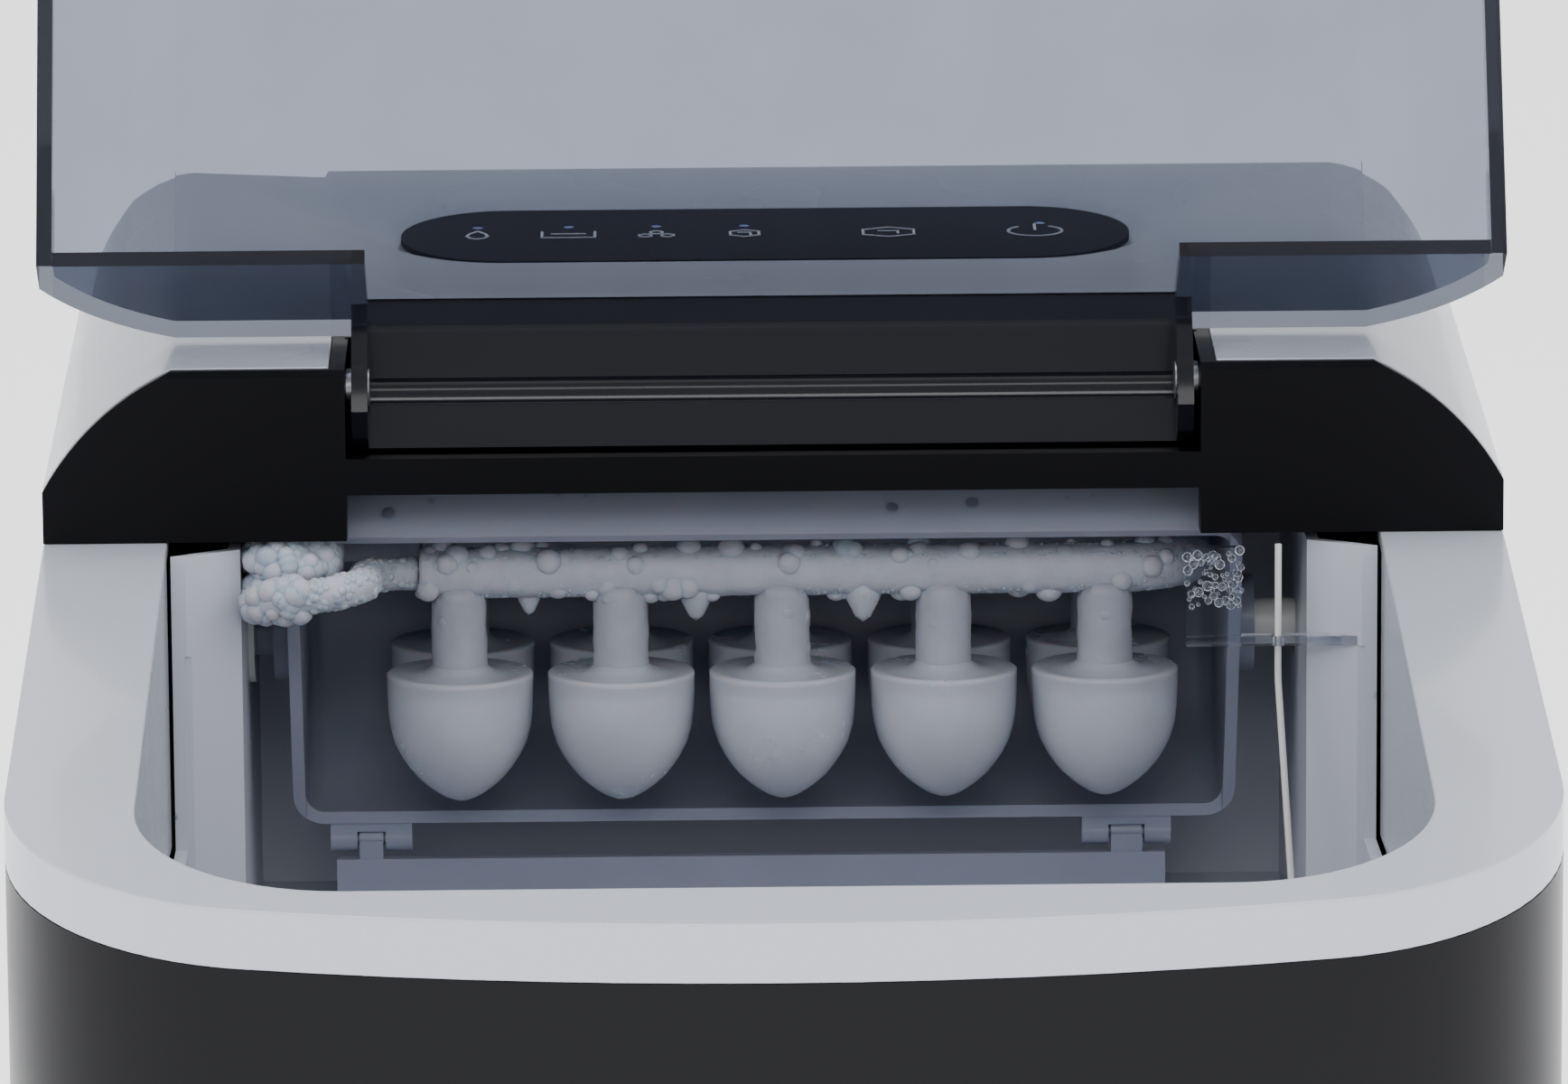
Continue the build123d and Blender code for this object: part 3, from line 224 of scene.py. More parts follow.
def circuit(name, colour):
    """Solder mask over copper tracks."""
    material, tree, shader, coords = new_material(name)
    tracks = tree.nodes.new("ShaderNodeTexVoronoi")
    tracks.distance = "MANHATTAN"
    tracks.inputs["Scale"].default_value = 160
    tree.links.new(coords.outputs["Object"], tracks.inputs["Vector"])
    lighter = tuple(min(1, c * 2.2) for c in colour[:3]) + (1,)
    tree.links.new(two_tone(tree, tracks.outputs["Distance"], lighter, colour, 0.2, 0.3),
                   shader.inputs["Base Color"])
    bumps(tree, shader, tracks.outputs["Distance"], 0.2, 0.05 * MM)
    shader.inputs["Roughness"].default_value = 0.35
    return material


# ---------------------------------------------------------------- meshes

def mesh_object(name, mesh, body, materials=()):
    """Links a mesh that is already in place and makes it ride on a body."""
    piece = bpy.data.objects.new(name, mesh)
    bpy.context.scene.collection.objects.link(piece)
    if materials:
        mesh.materials.clear()
        for material in materials:
            mesh.materials.append(material)
    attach(piece, body)
    return piece


def smooth(mesh, angle=30):
    """Smooth shading with sharp edges above an angle in degrees."""
    mesh.shade_smooth()
    mesh.set_sharp_from_angle(angle=math.radians(angle))


def merged(node, angle=28):
    """A welded copy of a CAD node's mesh with smooth shading."""
    work = bmesh.new()
    work.from_mesh(frame["nodes"][node].data)
    bmesh.ops.remove_doubles(work, verts=work.verts, dist=0.002 * MM)
    bmesh.ops.dissolve_degenerate(work, edges=work.edges, dist=0.001 * MM)
    bmesh.ops.dissolve_limit(work, angle_limit=math.radians(0.05), verts=work.verts, edges=work.edges)
    mesh = bpy.data.meshes.new(node)
    work.to_mesh(mesh)
    work.free()
    for name in [a.name for a in mesh.attributes if a.name in ("custom_normal", "sharp_edge", "sharp_face")]:
        mesh.attributes.remove(mesh.attributes[name])
    smooth(mesh, angle)
    return mesh


def stand_for(node, name, body, slot, *materials, angle=28, rounding=0.0):
    """A smooth welded copy that is shown instead of the CAD node, with its edges eased if asked."""
    piece = mesh_object(name, merged(node, angle), body, materials)
    if rounding:
        ease = piece.modifiers.new("eased edges", "BEVEL")
        ease.width = rounding
        ease.segments = 3
        ease.limit_method = "ANGLE"
        ease.angle_limit = math.radians(50)
        ease.harden_normals = True
        ease.use_clamp_overlap = True
    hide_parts(node)
    return piece


def darken_edges(piece, lip):
    """Gives the free edge of the clear lid, its downward faces by the hinge and the walls of its tongue a darker
    material: painted shade for the dark lines that light through the clear plastic's edges makes.
    """
    joint = next(j for j in frame["joints"] if j["child"] == "lid")
    hinge = Vector(joint["pos_m"])
    shut = Matrix.Rotation(math.radians(joint["range_deg"][1]), 3, "X")
    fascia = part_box("hinge_fascia")[0]
    mesh = piece.data
    mesh.materials.append(lip)
    for face in mesh.polygons:
        middle = hinge + shut @ (face.center - hinge)
        height = middle.z - fascia.z - (middle.y - fascia.y) * math.tan(math.radians(RIM_SLOPE))
        down = (shut @ face.normal).z < -0.9
        tongue = all(TONGUE_INNER < abs(mesh.vertices[v].co.x) < TONGUE_OUTER for v in face.vertices)
        lip_face = down and abs(height) < 1.2 * MM
        hinge_face = down and middle.y > fascia.y - 6 * MM and height < 2 * MM
        if tongue or lip_face or hinge_face:
            face.material_index = 1


def dress(material, *nodes):
    """Gives CAD nodes a finish."""
    for node in nodes:
        piece = frame["nodes"][node]
        piece.data.materials.clear()
        piece.data.materials.append(material)


def turned(profile, steps=40):
    """A closed mesh turned round Z from (radius, height) points that start and end on the axis."""
    work = bmesh.new()
    rings = []
    for radius, height in profile:
        if radius == 0:
            rings.append([work.verts.new((0, 0, height))])
            continue
        ring = []
        for step in range(steps):
            angle = 2 * math.pi * step / steps
            ring.append(work.verts.new((radius * math.cos(angle), radius * math.sin(angle), height)))
        rings.append(ring)
    for lower, upper in zip(rings, rings[1:]):
        for step in range(steps):
            after = (step + 1) % steps
            corners = [lower[step % len(lower)], lower[after % len(lower)],
                       upper[after % len(upper)], upper[step % len(upper)]]
            work.faces.new(list(dict.fromkeys(corners)))
    bmesh.ops.recalc_face_normals(work, faces=work.faces)
    mesh = bpy.data.meshes.new("turned")
    work.to_mesh(mesh)
    work.free()
    return mesh


# ---------------------------------------------------------------- geometry node trees

class Tree:
    """A geometry node tree with named inputs."""

    def __init__(self, name):
        self.tree = bpy.data.node_groups.new(name, "GeometryNodeTree")
        self.ids = {}
        self.tree.interface.new_socket("Geometry", in_out="OUTPUT", socket_type="NodeSocketGeometry")
        self.ask("Geometry", "NodeSocketGeometry")
        self.source = self.tree.nodes.new("NodeGroupInput")
        self.sink = self.tree.nodes.new("NodeGroupOutput")

    def ask(self, name, kind, value=None):
        socket = self.tree.interface.new_socket(name, in_out="INPUT", socket_type=kind)
        if value is not None:
            socket.default_value = value
        self.ids[name] = socket.identifier

    def node(self, kind, links=None, **values):
        node = self.tree.nodes.new(kind)
        for key, value in values.items():
            setattr(node, key, value)
        for key, value in (links or {}).items():
            socket = node.inputs[key]
            if hasattr(value, "links"):
                self.tree.links.new(value, socket)
            else:
                socket.default_value = value
        return node

    def given(self, name):
        return next(s for s in self.source.outputs if s.name == name)

    def end(self, geometry):
        real = self.node("GeometryNodeRealizeInstances", {"Geometry": geometry})
        finish = self.node("GeometryNodeSetMaterial",
                           {"Geometry": real.outputs[0], "Material": self.given("Material")})
        self.tree.links.new(finish.outputs[0], self.sink.inputs[0])


def scatter_tree():
    """Grains, beads or nodules strewn over a surface."""
    grow = Tree("strewn_grains")
    grow.ask("Density", "NodeSocketFloat", 1.0)
    grow.ask("Small", "NodeSocketFloat", 0.001)
    grow.ask("Large", "NodeSocketFloat", 0.002)
    grow.ask("Squash", "NodeSocketFloat", 1.0)
    grow.ask("Smoothness", "NodeSocketInt", 2)
    grow.ask("Seed", "NodeSocketInt", 1)
    grow.ask("Material", "NodeSocketMaterial")
    given = grow.given
    points = grow.node("GeometryNodeDistributePointsOnFaces",
                       {"Mesh": given("Geometry"), "Density": given("Density"), "Seed": given("Seed")})
    ball = grow.node("GeometryNodeMeshIcoSphere", {"Radius": 1.0, "Subdivisions": given("Smoothness")})
    size = grow.node("FunctionNodeRandomValue",
                     {"Min": given("Small"), "Max": given("Large"), "Seed": given("Seed")})
    flat = grow.node("ShaderNodeMath", {0: size.outputs["Value"], 1: given("Squash")}, operation="MULTIPLY")
    scale = grow.node("ShaderNodeCombineXYZ",
                      {"X": size.outputs["Value"], "Y": size.outputs["Value"], "Z": flat.outputs[0]})
    strewn = grow.node("GeometryNodeInstanceOnPoints",
                       {"Points": points.outputs["Points"], "Instance": ball.outputs["Mesh"],
                        "Rotation": points.outputs["Rotation"], "Scale": scale.outputs[0]})
    smoothed = grow.node("GeometryNodeSetShadeSmooth", {"Geometry": strewn.outputs[0]})
    grow.end(smoothed.outputs[0])
    return grow


def fuzz_tree():
    """Pushes a surface out unevenly, as frost grows."""
    grow = Tree("frost_growth")
    grow.ask("Grain", "NodeSocketFloat", 400.0)
    grow.ask("Height", "NodeSocketFloat", 0.0005)
    grow.ask("Base", "NodeSocketFloat", 0.0)
    grow.ask("Seed", "NodeSocketFloat", 1.0)
    grow.ask("Material", "NodeSocketMaterial")
    given = grow.given
    texture = grow.node("ShaderNodeTexNoise", {"Scale": given("Grain"), "Detail": 4.0, "W": given("Seed")},
                        noise_dimensions="4D")
    above = grow.node("ShaderNodeMath", {0: texture.outputs[0], 1: given("Height")}, operation="MULTIPLY")
    total = grow.node("ShaderNodeMath", {0: above.outputs[0], 1: given("Base")}, operation="ADD")
    normal = grow.node("GeometryNodeInputNormal")
    push = grow.node("ShaderNodeVectorMath", {0: normal.outputs[0], "Scale": total.outputs[0]}, operation="SCALE")
    moved = grow.node("GeometryNodeSetPosition", {"Geometry": given("Geometry"), "Offset": push.outputs[0]})
    smoothed = grow.node("GeometryNodeSetShadeSmooth", {"Geometry": moved.outputs[0]})
    grow.end(smoothed.outputs[0])
    return grow


def grains(density, small, large, squash, smoothness, seed):
    """Inputs of the scatter tree: grains in a square metre, their radii in metres, their flatness."""
    return {"Density": density, "Small": small, "Large": large, "Squash": squash, "Smoothness": smoothness,
            "Seed": seed}


def grid_tree():
    """Copies of one shape in rows along X and Y."""
    grow = Tree("rows_of_copies")
    for name, value in (("Columns", 5), ("Rows", 2)):
        grow.ask(name, "NodeSocketInt", value)
    grow.ask("Column pitch", "NodeSocketFloat", 0.01)
    grow.ask("Row pitch", "NodeSocketFloat", 0.01)
    grow.ask("Uneven", "NodeSocketFloat", 0.0)
    grow.ask("Seed", "NodeSocketInt", 1)
    grow.ask("Material", "NodeSocketMaterial")
    given = grow.given
    step_x = grow.node("ShaderNodeCombineXYZ", {"X": given("Column pitch")})
    step_y = grow.node("ShaderNodeCombineXYZ", {"Y": given("Row pitch")})
    column = grow.node("GeometryNodeMeshLine", {"Count": given("Columns"), "Offset": step_x.outputs[0]})
    row = grow.node("GeometryNodeMeshLine", {"Count": given("Rows"), "Offset": step_y.outputs[0]})
    spots = grow.node("GeometryNodeInstanceOnPoints",
                      {"Points": row.outputs[0], "Instance": column.outputs[0]})
    real = grow.node("GeometryNodeRealizeInstances", {"Geometry": spots.outputs[0]})
    tall = grow.node("ShaderNodeMath", {0: 1.0, 1: given("Uneven")}, operation="ADD")
    short = grow.node("ShaderNodeMath", {0: 1.0, 1: given("Uneven")}, operation="SUBTRACT")
    size = grow.node("FunctionNodeRandomValue",
                     {"Min": short.outputs[0], "Max": tall.outputs[0], "Seed": given("Seed")})
    spin = grow.node("FunctionNodeRandomValue", {"Min": 0.0, "Max": 6.28, "Seed": given("Seed")})
    turn = grow.node("ShaderNodeCombineXYZ", {"Z": spin.outputs["Value"]})
    copies = grow.node("GeometryNodeInstanceOnPoints",
                       {"Points": real.outputs[0], "Instance": given("Geometry"), "Rotation": turn.outputs[0],
                        "Scale": size.outputs["Value"]})
    grow.end(copies.outputs[0])
    return grow


def grown(name, mesh, tree, inputs, material, body, place=(0, 0, 0)):
    """Runs a tree on a mesh and keeps the result as a plain mesh that rides on a body."""
    source = bpy.data.objects.new(name + "_source", mesh)
    bpy.context.scene.collection.objects.link(source)
    modifier = source.modifiers.new("tree", "NODES")
    modifier.node_group = tree.tree
    for key, value in inputs.items():
        modifier[tree.ids[key]] = value
    modifier[tree.ids["Material"]] = material
    graph = bpy.context.evaluated_depsgraph_get()
    result = bpy.data.meshes.new_from_object(source.evaluated_get(graph), depsgraph=graph)
    source.modifiers.remove(modifier)
    bpy.data.objects.remove(source)
    result.transform(Matrix.Translation(place))
    if not result.polygons:
        raise RuntimeError(f"{name} came out empty")
    result.name = name
    return mesh_object(name, result, body)


def patch(corners, across=6, along=6):
    """A four-cornered patch of surface, for strewing beads on."""
    a, b, c, d = (Vector(p) for p in corners)
    work = bmesh.new()
    rows = []
    for j in range(along + 1):
        v = j / along
        rows.append([work.verts.new(a.lerp(b, i / across).lerp(d.lerp(c, i / across), v))
                     for i in range(across + 1)])
    for low, high in zip(rows, rows[1:]):
        for i in range(across):
            work.faces.new((low[i], low[i + 1], high[i + 1], high[i]))
    mesh = bpy.data.meshes.new("patch")
    work.to_mesh(mesh)
    work.free()
    return mesh


def trim(mesh, wanted):
    """Keeps the faces whose middle passes the test."""
    work = bmesh.new()
    work.from_mesh(mesh)
    extra = [face for face in work.faces if not wanted(face.calc_center_median())]
    bmesh.ops.delete(work, geom=extra, context="FACES")
    work.to_mesh(mesh)
    work.free()


def remeshed(node, voxel):
    """A closed even skin of a CAD node, for frost to grow from."""
    mesh = merged(node)
    source = bpy.data.objects.new("skin", mesh)
    bpy.context.scene.collection.objects.link(source)
    modifier = source.modifiers.new("skin", "REMESH")
    modifier.mode = "VOXEL"
    modifier.voxel_size = voxel
    graph = bpy.context.evaluated_depsgraph_get()
    result = bpy.data.meshes.new_from_object(source.evaluated_get(graph), depsgraph=graph)
    bpy.data.objects.remove(source)
    return result


# ---------------------------------------------------------------- settings

class IceMakerSizes(bpy.types.PropertyGroup):
    """Sizes of the ice, frost and drops."""

    bullet_neck: bpy.props.FloatProperty(
        name="Ice creep", description="How far ice climbs each cold finger", default=1.6 * MM,
        min=0, max=6 * MM, subtype="DISTANCE", unit="LENGTH")
    frost_depth: bpy.props.FloatProperty(
        name="Frost depth", description="Depth of the frost on the cold tube", default=0.9 * MM,
        min=0, max=2 * MM, subtype="DISTANCE", unit="LENGTH")
    bead_size: bpy.props.FloatProperty(
        name="Drop size", description="Radius of the largest water drops", default=0.9 * MM,
        min=0.2 * MM, max=3 * MM, subtype="DISTANCE", unit="LENGTH")
    line_width: bpy.props.FloatProperty(
        name="Icon line", description="Width of the lines of the panel icons", default=0.45 * MM,
        min=0.1 * MM, max=1 * MM, subtype="DISTANCE", unit="LENGTH")


class IceMakerColours(bpy.types.PropertyGroup):
    """Colours of the main mouldings."""

    housing: bpy.props.FloatVectorProperty(
        name="Housing", description="Top housing and rim", default=lin(186, 190, 200)[:3], size=3,
        min=0, max=1, subtype="COLOR")
    shell: bpy.props.FloatVectorProperty(
        name="Shell", description="Body shell and rear panel", default=lin(5, 5, 9)[:3], size=3,
        min=0, max=1, subtype="COLOR")
    lid: bpy.props.FloatVectorProperty(
        name="Lid", description="Tint of the clear lid", default=lin(128, 134, 146)[:3], size=3,
        min=0, max=1, subtype="COLOR")
    tray: bpy.props.FloatVectorProperty(
        name="Tray", description="Tint of the milky water tray", default=lin(150, 156, 174)[:3], size=3,
        min=0, max=1, subtype="COLOR")


def sizes():
    return bpy.context.scene.ice_maker_sizes


def colours():
    return bpy.context.scene.ice_maker_colours


def opaque(colour):
    return (*colour[:3], 1)


# ---------------------------------------------------------------- operators

class ICEMAKER_OT_cabinet(bpy.types.Operator):
    """Finish the shells, the rim, the liner and the hinge fascia"""

    bl_idname = "icemaker.cabinet"
    bl_label = "Cabinet"

    def execute(self, context):
        shell = moulded("satin_black_shell", opaque(colours().shell), 0.3, 900, 0.08, 0.03 * MM, specular=0.18)
        grey = moulded("glossy_grey_housing", opaque(colours().housing), 0.26, 1200, 0.05, 0.03 * MM,
                       coat=0.35, mottle=0.015)
        black = moulded("black_hinge_fascia", lin(9, 9, 13), 0.35, 1000, 0.06, 0.02 * MM, specular=0.06)
        inner = moulded("pale_grey_liner", lin(196, 199, 210), 0.32, 1000, 0.08, 0.04 * MM, mottle=0.02)
        stand_for("body_shell", "shell_moulding", "cabinet", "black_shell", shell)
        stand_for("rear_panel", "rear_moulding", "cabinet", "black_shell", shell)
        stand_for("top_housing", "housing_moulding", "cabinet", "grey_shell", grey, rounding=1.6 * MM)
        stand_for("hinge_fascia", "hinge_fascia_moulding", "cabinet", "black_shell", black)
        stand_for("bin_liner", "liner_moulding", "cabinet", "liner_white", inner)
        dress(moulded("soft_rubber_feet", lin(22, 22, 22), 0.75, 1500, 0.4, 0.1 * MM),
              "feet", "compressor_grommets")
        dress(metal("zinc_sheet", lin(168, 170, 174), 0.38, (1, 12, 1)), "base_pan", "fan_motor", "hinge_pins",
              "compressor_core", "panel_screws")
        dress(moulded("cut_foam", lin(236, 235, 226), 0.9, 700, 0.8, 0.4 * MM), "bin_insulation")
        dress(moulded("matt_black_parts", lin(26, 26, 28), 0.55, 1100, 0.3, 0.08 * MM),
              "ice_sensors", "tray_motor", "fan_shroud", "water_pump", "drain_fitting", "drain_cap", "power_inlet")
        return {"FINISHED"}


class ICEMAKER_OT_lid(bpy.types.Operator):
    """Make the smoked clear lid, with painted shade on its edges"""

    bl_idname = "icemaker.lid"
    bl_label = "Lid"

    def execute(self, context):
        glassy = clear("smoked_clear_lid", opaque(colours().lid), 0.03, 1.0, 1.12, 0.02, 60)
        # painted shade: a dark, less clear material for the lid's free edge, hinge faces and tongue walls
        edge = clear("lid_edge_painted_shade", lin(20, 21, 28), 0.1, 0.35, 1.3, 0.02, 60)
        piece = stand_for("lid", "lid_moulding", "lid", "smoked_clear", glassy, angle=24)
        darken_edges(piece, edge)
        return {"FINISHED"}


class ICEMAKER_OT_tray(bpy.types.Operator):
    """Make the milky water tray, its coupler, bush and pusher"""

    bl_idname = "icemaker.tray"
    bl_label = "Water tray"

    def execute(self, context):
        milky = clear("milky_tray", opaque(colours().tray), 0.3, 0.15, 1.35, 0.05, 90, haze=0.35)
        stand_for("water_tray", "tray_moulding", "water_tray", "tray_clear", milky)
        stand_for("ice_pusher", "pusher_moulding", "ice_pusher", "tray_clear", milky)
        dress(moulded("white_acetal", lin(226, 226, 222), 0.4, 900, 0.1, 0.04 * MM),
              "tray_coupler", "tray_bush", "bin_sensor", "fan_blades", "pump_impeller", "pump_hose")
        return {"FINISHED"}


class ICEMAKER_OT_evaporator(bpy.types.Operator):
    """Grow frost on the cold tube and fingers, and freeze the bullets"""

    bl_idname = "icemaker.evaporator"
    bl_label = "Evaporator and ice"

    def execute(self, context):
        frost = icy("packed_frost", lin(172, 174, 184), 0.55, 0.0, 300, 0.5, 0.3 * MM, 0.35)
        glaze = icy("glazed_finger_frost", lin(170, 173, 184), 0.3, 0.15, 160, 0.3, 0.2 * MM, 0.2)
        ice = icy("clear_bullet_ice", lin(214, 218, 228), 0.16, 0.45, 60, 0.04, 0.1 * MM, 0.35)
        core = icy("milky_ice_core", lin(222, 225, 234), 0.5, 0.1, 120, 0.2, 0.2 * MM, 0.4)
        growth, copies, strewn = fuzz_tree(), grid_tree(), scatter_tree()
        tube = grown("frosted_tube", remeshed("evaporator_tube", FINE_SKIN), growth,
                     {"Grain": 520.0, "Height": sizes().frost_depth, "Base": -0.3 * MM, "Seed": 2.0},
                     frost, "cabinet")
        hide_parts("evaporator_tube")
        fingers = grown("frosted_fingers", remeshed("evaporator_fingers", FINE_SKIN), growth,
                        {"Grain": 300.0, "Height": 0.9 * MM, "Base": 0.1 * MM, "Seed": 5.0},
                        glaze, "cabinet")
        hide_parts("evaporator_fingers")

        low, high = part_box("ice_bullets")
        radius = BULLET_RADIUS
        pitch = (high.x - low.x - 2 * radius) / (BULLET_COLUMNS - 1)
        row_pitch = high.y - low.y - 2 * radius
        tall = high.z - low.z
        profile = [(0, 0)]
        for share, width in BULLET_SHAPE:
            profile.append((radius * width, tall * share))
        profile += [(radius * 1.005, tall), (radius * 0.97, tall * 1.015), (radius * 0.8, tall * 1.0),
                    (radius * 0.5, tall * 1.02), (radius * 0.42, tall + sizes().bullet_neck * 0.6),
                    (radius * 0.37, tall + sizes().bullet_neck), (0, tall + sizes().bullet_neck)]
        bullet = turned(profile)
        bullet.shade_smooth()
        place = Vector((low.x + radius, low.y + radius, low.z))
        layout = {"Columns": BULLET_COLUMNS, "Rows": BULLET_ROWS, "Column pitch": pitch,
                  "Row pitch": row_pitch, "Uneven": 0.0}
        bullets = grown("ice_bullets_clear", bullet, copies, {**layout, "Seed": 3}, ice, "cabinet", place)
        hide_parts("ice_bullets")
        inside = turned([(0, 2 * MM), (4 * MM, 3.4 * MM), (7 * MM, 6.5 * MM), (8.8 * MM, 10.5 * MM),
                         (9.2 * MM, 15 * MM), (7 * MM, 17.8 * MM), (0, 18.3 * MM)], 24)
        inside.shade_smooth()
        grown("ice_bullets_milky", inside, copies, {**layout, "Seed": 4}, core, "cabinet", place)

        tube_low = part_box("evaporator_tube")[0]
        for pipe in ("suction_pipe", "feed_pipe"):
            skin = grown("frosted_" + pipe, remeshed(pipe, FINE_SKIN), growth,
                         {"Grain": 420.0, "Height": 0.9 * MM, "Base": -0.2 * MM, "Seed": 3.0},
                         frost, "cabinet")
            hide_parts(pipe)
            low_end = remeshed(pipe, COARSE_SKIN)
            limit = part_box("ice_pusher")[0].x - 3 * MM if pipe == "suction_pipe" else tube_low.x - 5 * MM
            trim(low_end, lambda c: c.y < FROST_BACK and c.x < limit)
            grown("nodules_" + pipe, low_end, strewn,
                  grains(4.0e5, 0.9 * MM, 2.3 * MM, 0.9, 2, 8),
                  frost, "cabinet")
        bend = remeshed("suction_pipe", COARSE_SKIN)
        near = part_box("ice_pusher")[0].x - 3 * MM
        trim(bend, lambda c: c.y < FROST_BACK and near <= c.x < tube_low.x)
        grown("bend_grains", bend, strewn,
              grains(8.0e5, 0.3 * MM, 0.9 * MM, 0.8, 2, 14),
              frost, "cabinet")
        for name, density, small, large, smoothness, seed in (
                ("tube_grains", 1.6e6, 0.2, 0.5, 1, 21), ("tube_nodules", 2.4e4, 1.0, 2.3, 3, 5)):
            front = remeshed("evaporator_tube", COARSE_SKIN)
            trim(front, lambda c: c.y < FROST_BACK)
            grown(name, front, strewn,
                  grains(density, small * MM, large * MM, 0.8, smoothness, seed), frost, "cabinet")
        shanks = remeshed("evaporator_fingers", COARSE_SKIN)
        trim(shanks, lambda c: c.y < FROST_BACK and c.z > high.z + 2 * MM)
        for number, (x, y, size) in enumerate(DRIPS):
            drip = turned([(0, -size * 1.05 * MM), (size * 0.35 * MM, -size * 0.8 * MM), (size * 0.75 * MM, 0),
                           (size * 0.9 * MM, size * 0.7 * MM), (0, size * MM)], 20)
            drip.transform(Matrix.Translation((x * MM, y * MM, tube_low.z - 0.8 * MM)))
            drip.shade_smooth()
            mesh_object(f"tube_drip_{number + 1}", drip, "cabinet", [ice])
        grown("finger_beads", shanks, strewn,
              grains(6.0e4, 0.5 * MM, 1.7 * MM, 0.5, 2, 17),
              glaze, "cabinet")
        dress(clear("clear_guard", lin(225, 230, 238), 0.04, 1.0, 1.49, 0.05, 120), "evaporator_guard")
        return {"FINISHED"}


class ICEMAKER_OT_drops(bpy.types.Operator):
    """Strew meltwater drops over the guard, the liner and the tray"""

    bl_idname = "icemaker.drops"
    bl_label = "Water drops"

    def execute(self, context):
        water = clear("meltwater", lin(232, 236, 242), 0.02, 1.0, 1.33, 0.0, 60)
        strewn = scatter_tree()
        low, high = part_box("evaporator_guard")
        y = low.y - 0.1 * MM
        high = Vector((low.x + 9 * MM, high.y, high.z))
        grown("guard_drops", patch([(low.x, y, high.z - 10 * MM), (high.x, y, high.z - 10 * MM),
                                    (high.x, y, high.z), (low.x, y, high.z)]), strewn,
              grains(6e5, 0.3 * MM, sizes().bead_size, 0.5, 2, 11), water, "cabinet")
        tray_low, tray_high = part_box("water_tray")
        wet = merged("water_tray")
        trim(wet, lambda c: c.z > tray_high.z - 9 * MM and c.y < tray_low.y + 22 * MM)
        grown("tray_drops", wet, strewn,
              grains(1.2e4, 0.4 * MM, sizes().bead_size * 1.4, 0.3, 2, 30), water, "water_tray")
        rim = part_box("hinge_fascia")[0]
        wall = merged("bin_liner")
        trim(wall, lambda c: abs(c.x) > 86 * MM and rim.y < c.y < rim.y + 20 * MM and c.z > tray_low.z)
        grown("liner_drops", wall, strewn,
              grains(3e4, 0.3 * MM, sizes().bead_size, 0.5, 1, 12), water, "cabinet")
        return {"FINISHED"}


class ICEMAKER_OT_panel(bpy.types.Operator):
    """Print the generic icons of the touch panel and tint its lamp lenses"""

    bl_idname = "icemaker.panel"
    bl_label = "Touch panel"

    def execute(self, context):
        dress(moulded("touch_panel", lin(58, 58, 68), 0.5, 1500, 0.03, 0.02 * MM, specular=0.02),
              "control_overlay")
        low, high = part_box("control_overlay")
        top = max((f for f in merged("control_overlay").polygons if f.normal.z > 0.9), key=lambda f: f.area)
        face, up = top.center.copy(), top.normal.copy()
        middle = Vector(((low.x + high.x) / 2, face.y, face.z))
        back = up.cross(Vector((1, 0, 0)))
        width = sizes().line_width
        cube = [(0, 3), (2.7, 1.6), (2.7, -1.6), (0, -3), (-2.7, -1.6), (-2.7, 1.6), (0, 3)]
        wide_cube = [(x * 1.6, y * 1.1) for x, y in cube]
        drop = [(0, 3), (1.4, 1), (1.8, -0.6), (1.1, -2), (0, -2.5), (-1.1, -2), (-1.8, -0.6), (-1.4, 1), (0, 3)]
        ring = [(4.6 * math.sin(math.radians(a)), 3.6 * math.cos(math.radians(a)))
                for a in range(35, 326, 15)]
        small = [[(x * 0.36 + dx, y * 0.36 + dy) for x, y in cube]
                 for dx, dy in ((0, 1.1), (-1.9, -1.0), (1.9, -1.0))]
        # each icon is its place along the panel from the middle and an outline, in millimetres
        icons = [(-49, drop),
                 (-33.5, [(-4.5, 2), (-4.5, -2), (4.5, -2), (4.5, 2)]), (-33.5, [(-2.8, 0.6), (2.8, 0.6)]),
                 (-3.5, [(x * 0.9, y * 0.8) for x, y in cube]), (-3.5, [(-1, 0.6), (1, 0.6), (1, -1)]),
                 (21, wide_cube), (21, [(-1.6, 0.8), (1.6, 0.8), (1.6, -0.9)]),
                 (46, ring), (46, [(0, 4.6), (0, 0.6)])]
        icons += [(-18.5, outline) for outline in small]
        work = bmesh.new()
        for offset, points in icons:
            for start, end in zip(points, points[1:]):
                a, b = Vector(start) * MM, Vector(end) * MM
                side = (b - a).normalized().orthogonal() * width / 2
                run = (b - a).normalized() * width / 2
                corners = [a - run + side, a - run - side, b + run - side, b + run + side]
                quads = []
                for rise in INK_RISE:
                    quads.append([work.verts.new(middle + Vector((offset * MM + c.x, 0, 0))
                                                 + back * (c.y - ICON_FORWARD) + up * rise) for c in corners])
                work.faces.new(quads[0][::-1])
                work.faces.new(quads[1])
                for k in range(4):
                    work.faces.new((quads[0][k], quads[0][(k + 1) % 4], quads[1][(k + 1) % 4], quads[1][k]))
        bmesh.ops.recalc_face_normals(work, faces=work.faces)
        mesh = bpy.data.meshes.new("panel_icons")
        work.to_mesh(mesh)
        work.free()
        ink = moulded("pale_ink", lin(240, 241, 248), 0.6, mottle=0.0)
        mesh_object("panel_icons", mesh, "cabinet", [ink])
        dress(moulded("lamp_lens", lin(150, 165, 235), 0.2, 900, 0.05, 0.02 * MM), "status_leds")
        dress(circuit("circuit_board", lin(26, 92, 52)), "control_board", "main_board")
        return {"FINISHED"}


class ICEMAKER_OT_basket(bpy.types.Operator):
    """Finish the ice basket and its bail"""

    bl_idname = "icemaker.basket"
    bl_label = "Basket"

    def execute(self, context):
        pale = clear("translucent_basket", lin(214, 220, 230), 0.3, 0.5, 1.45, 0.05, 90, haze=0.2)
        stand_for("ice_basket", "basket_moulding", "ice_basket", "basket_clear", pale)
        stand_for("basket_handle", "bail_moulding", "basket_handle", "basket_clear", pale)
        return {"FINISHED"}


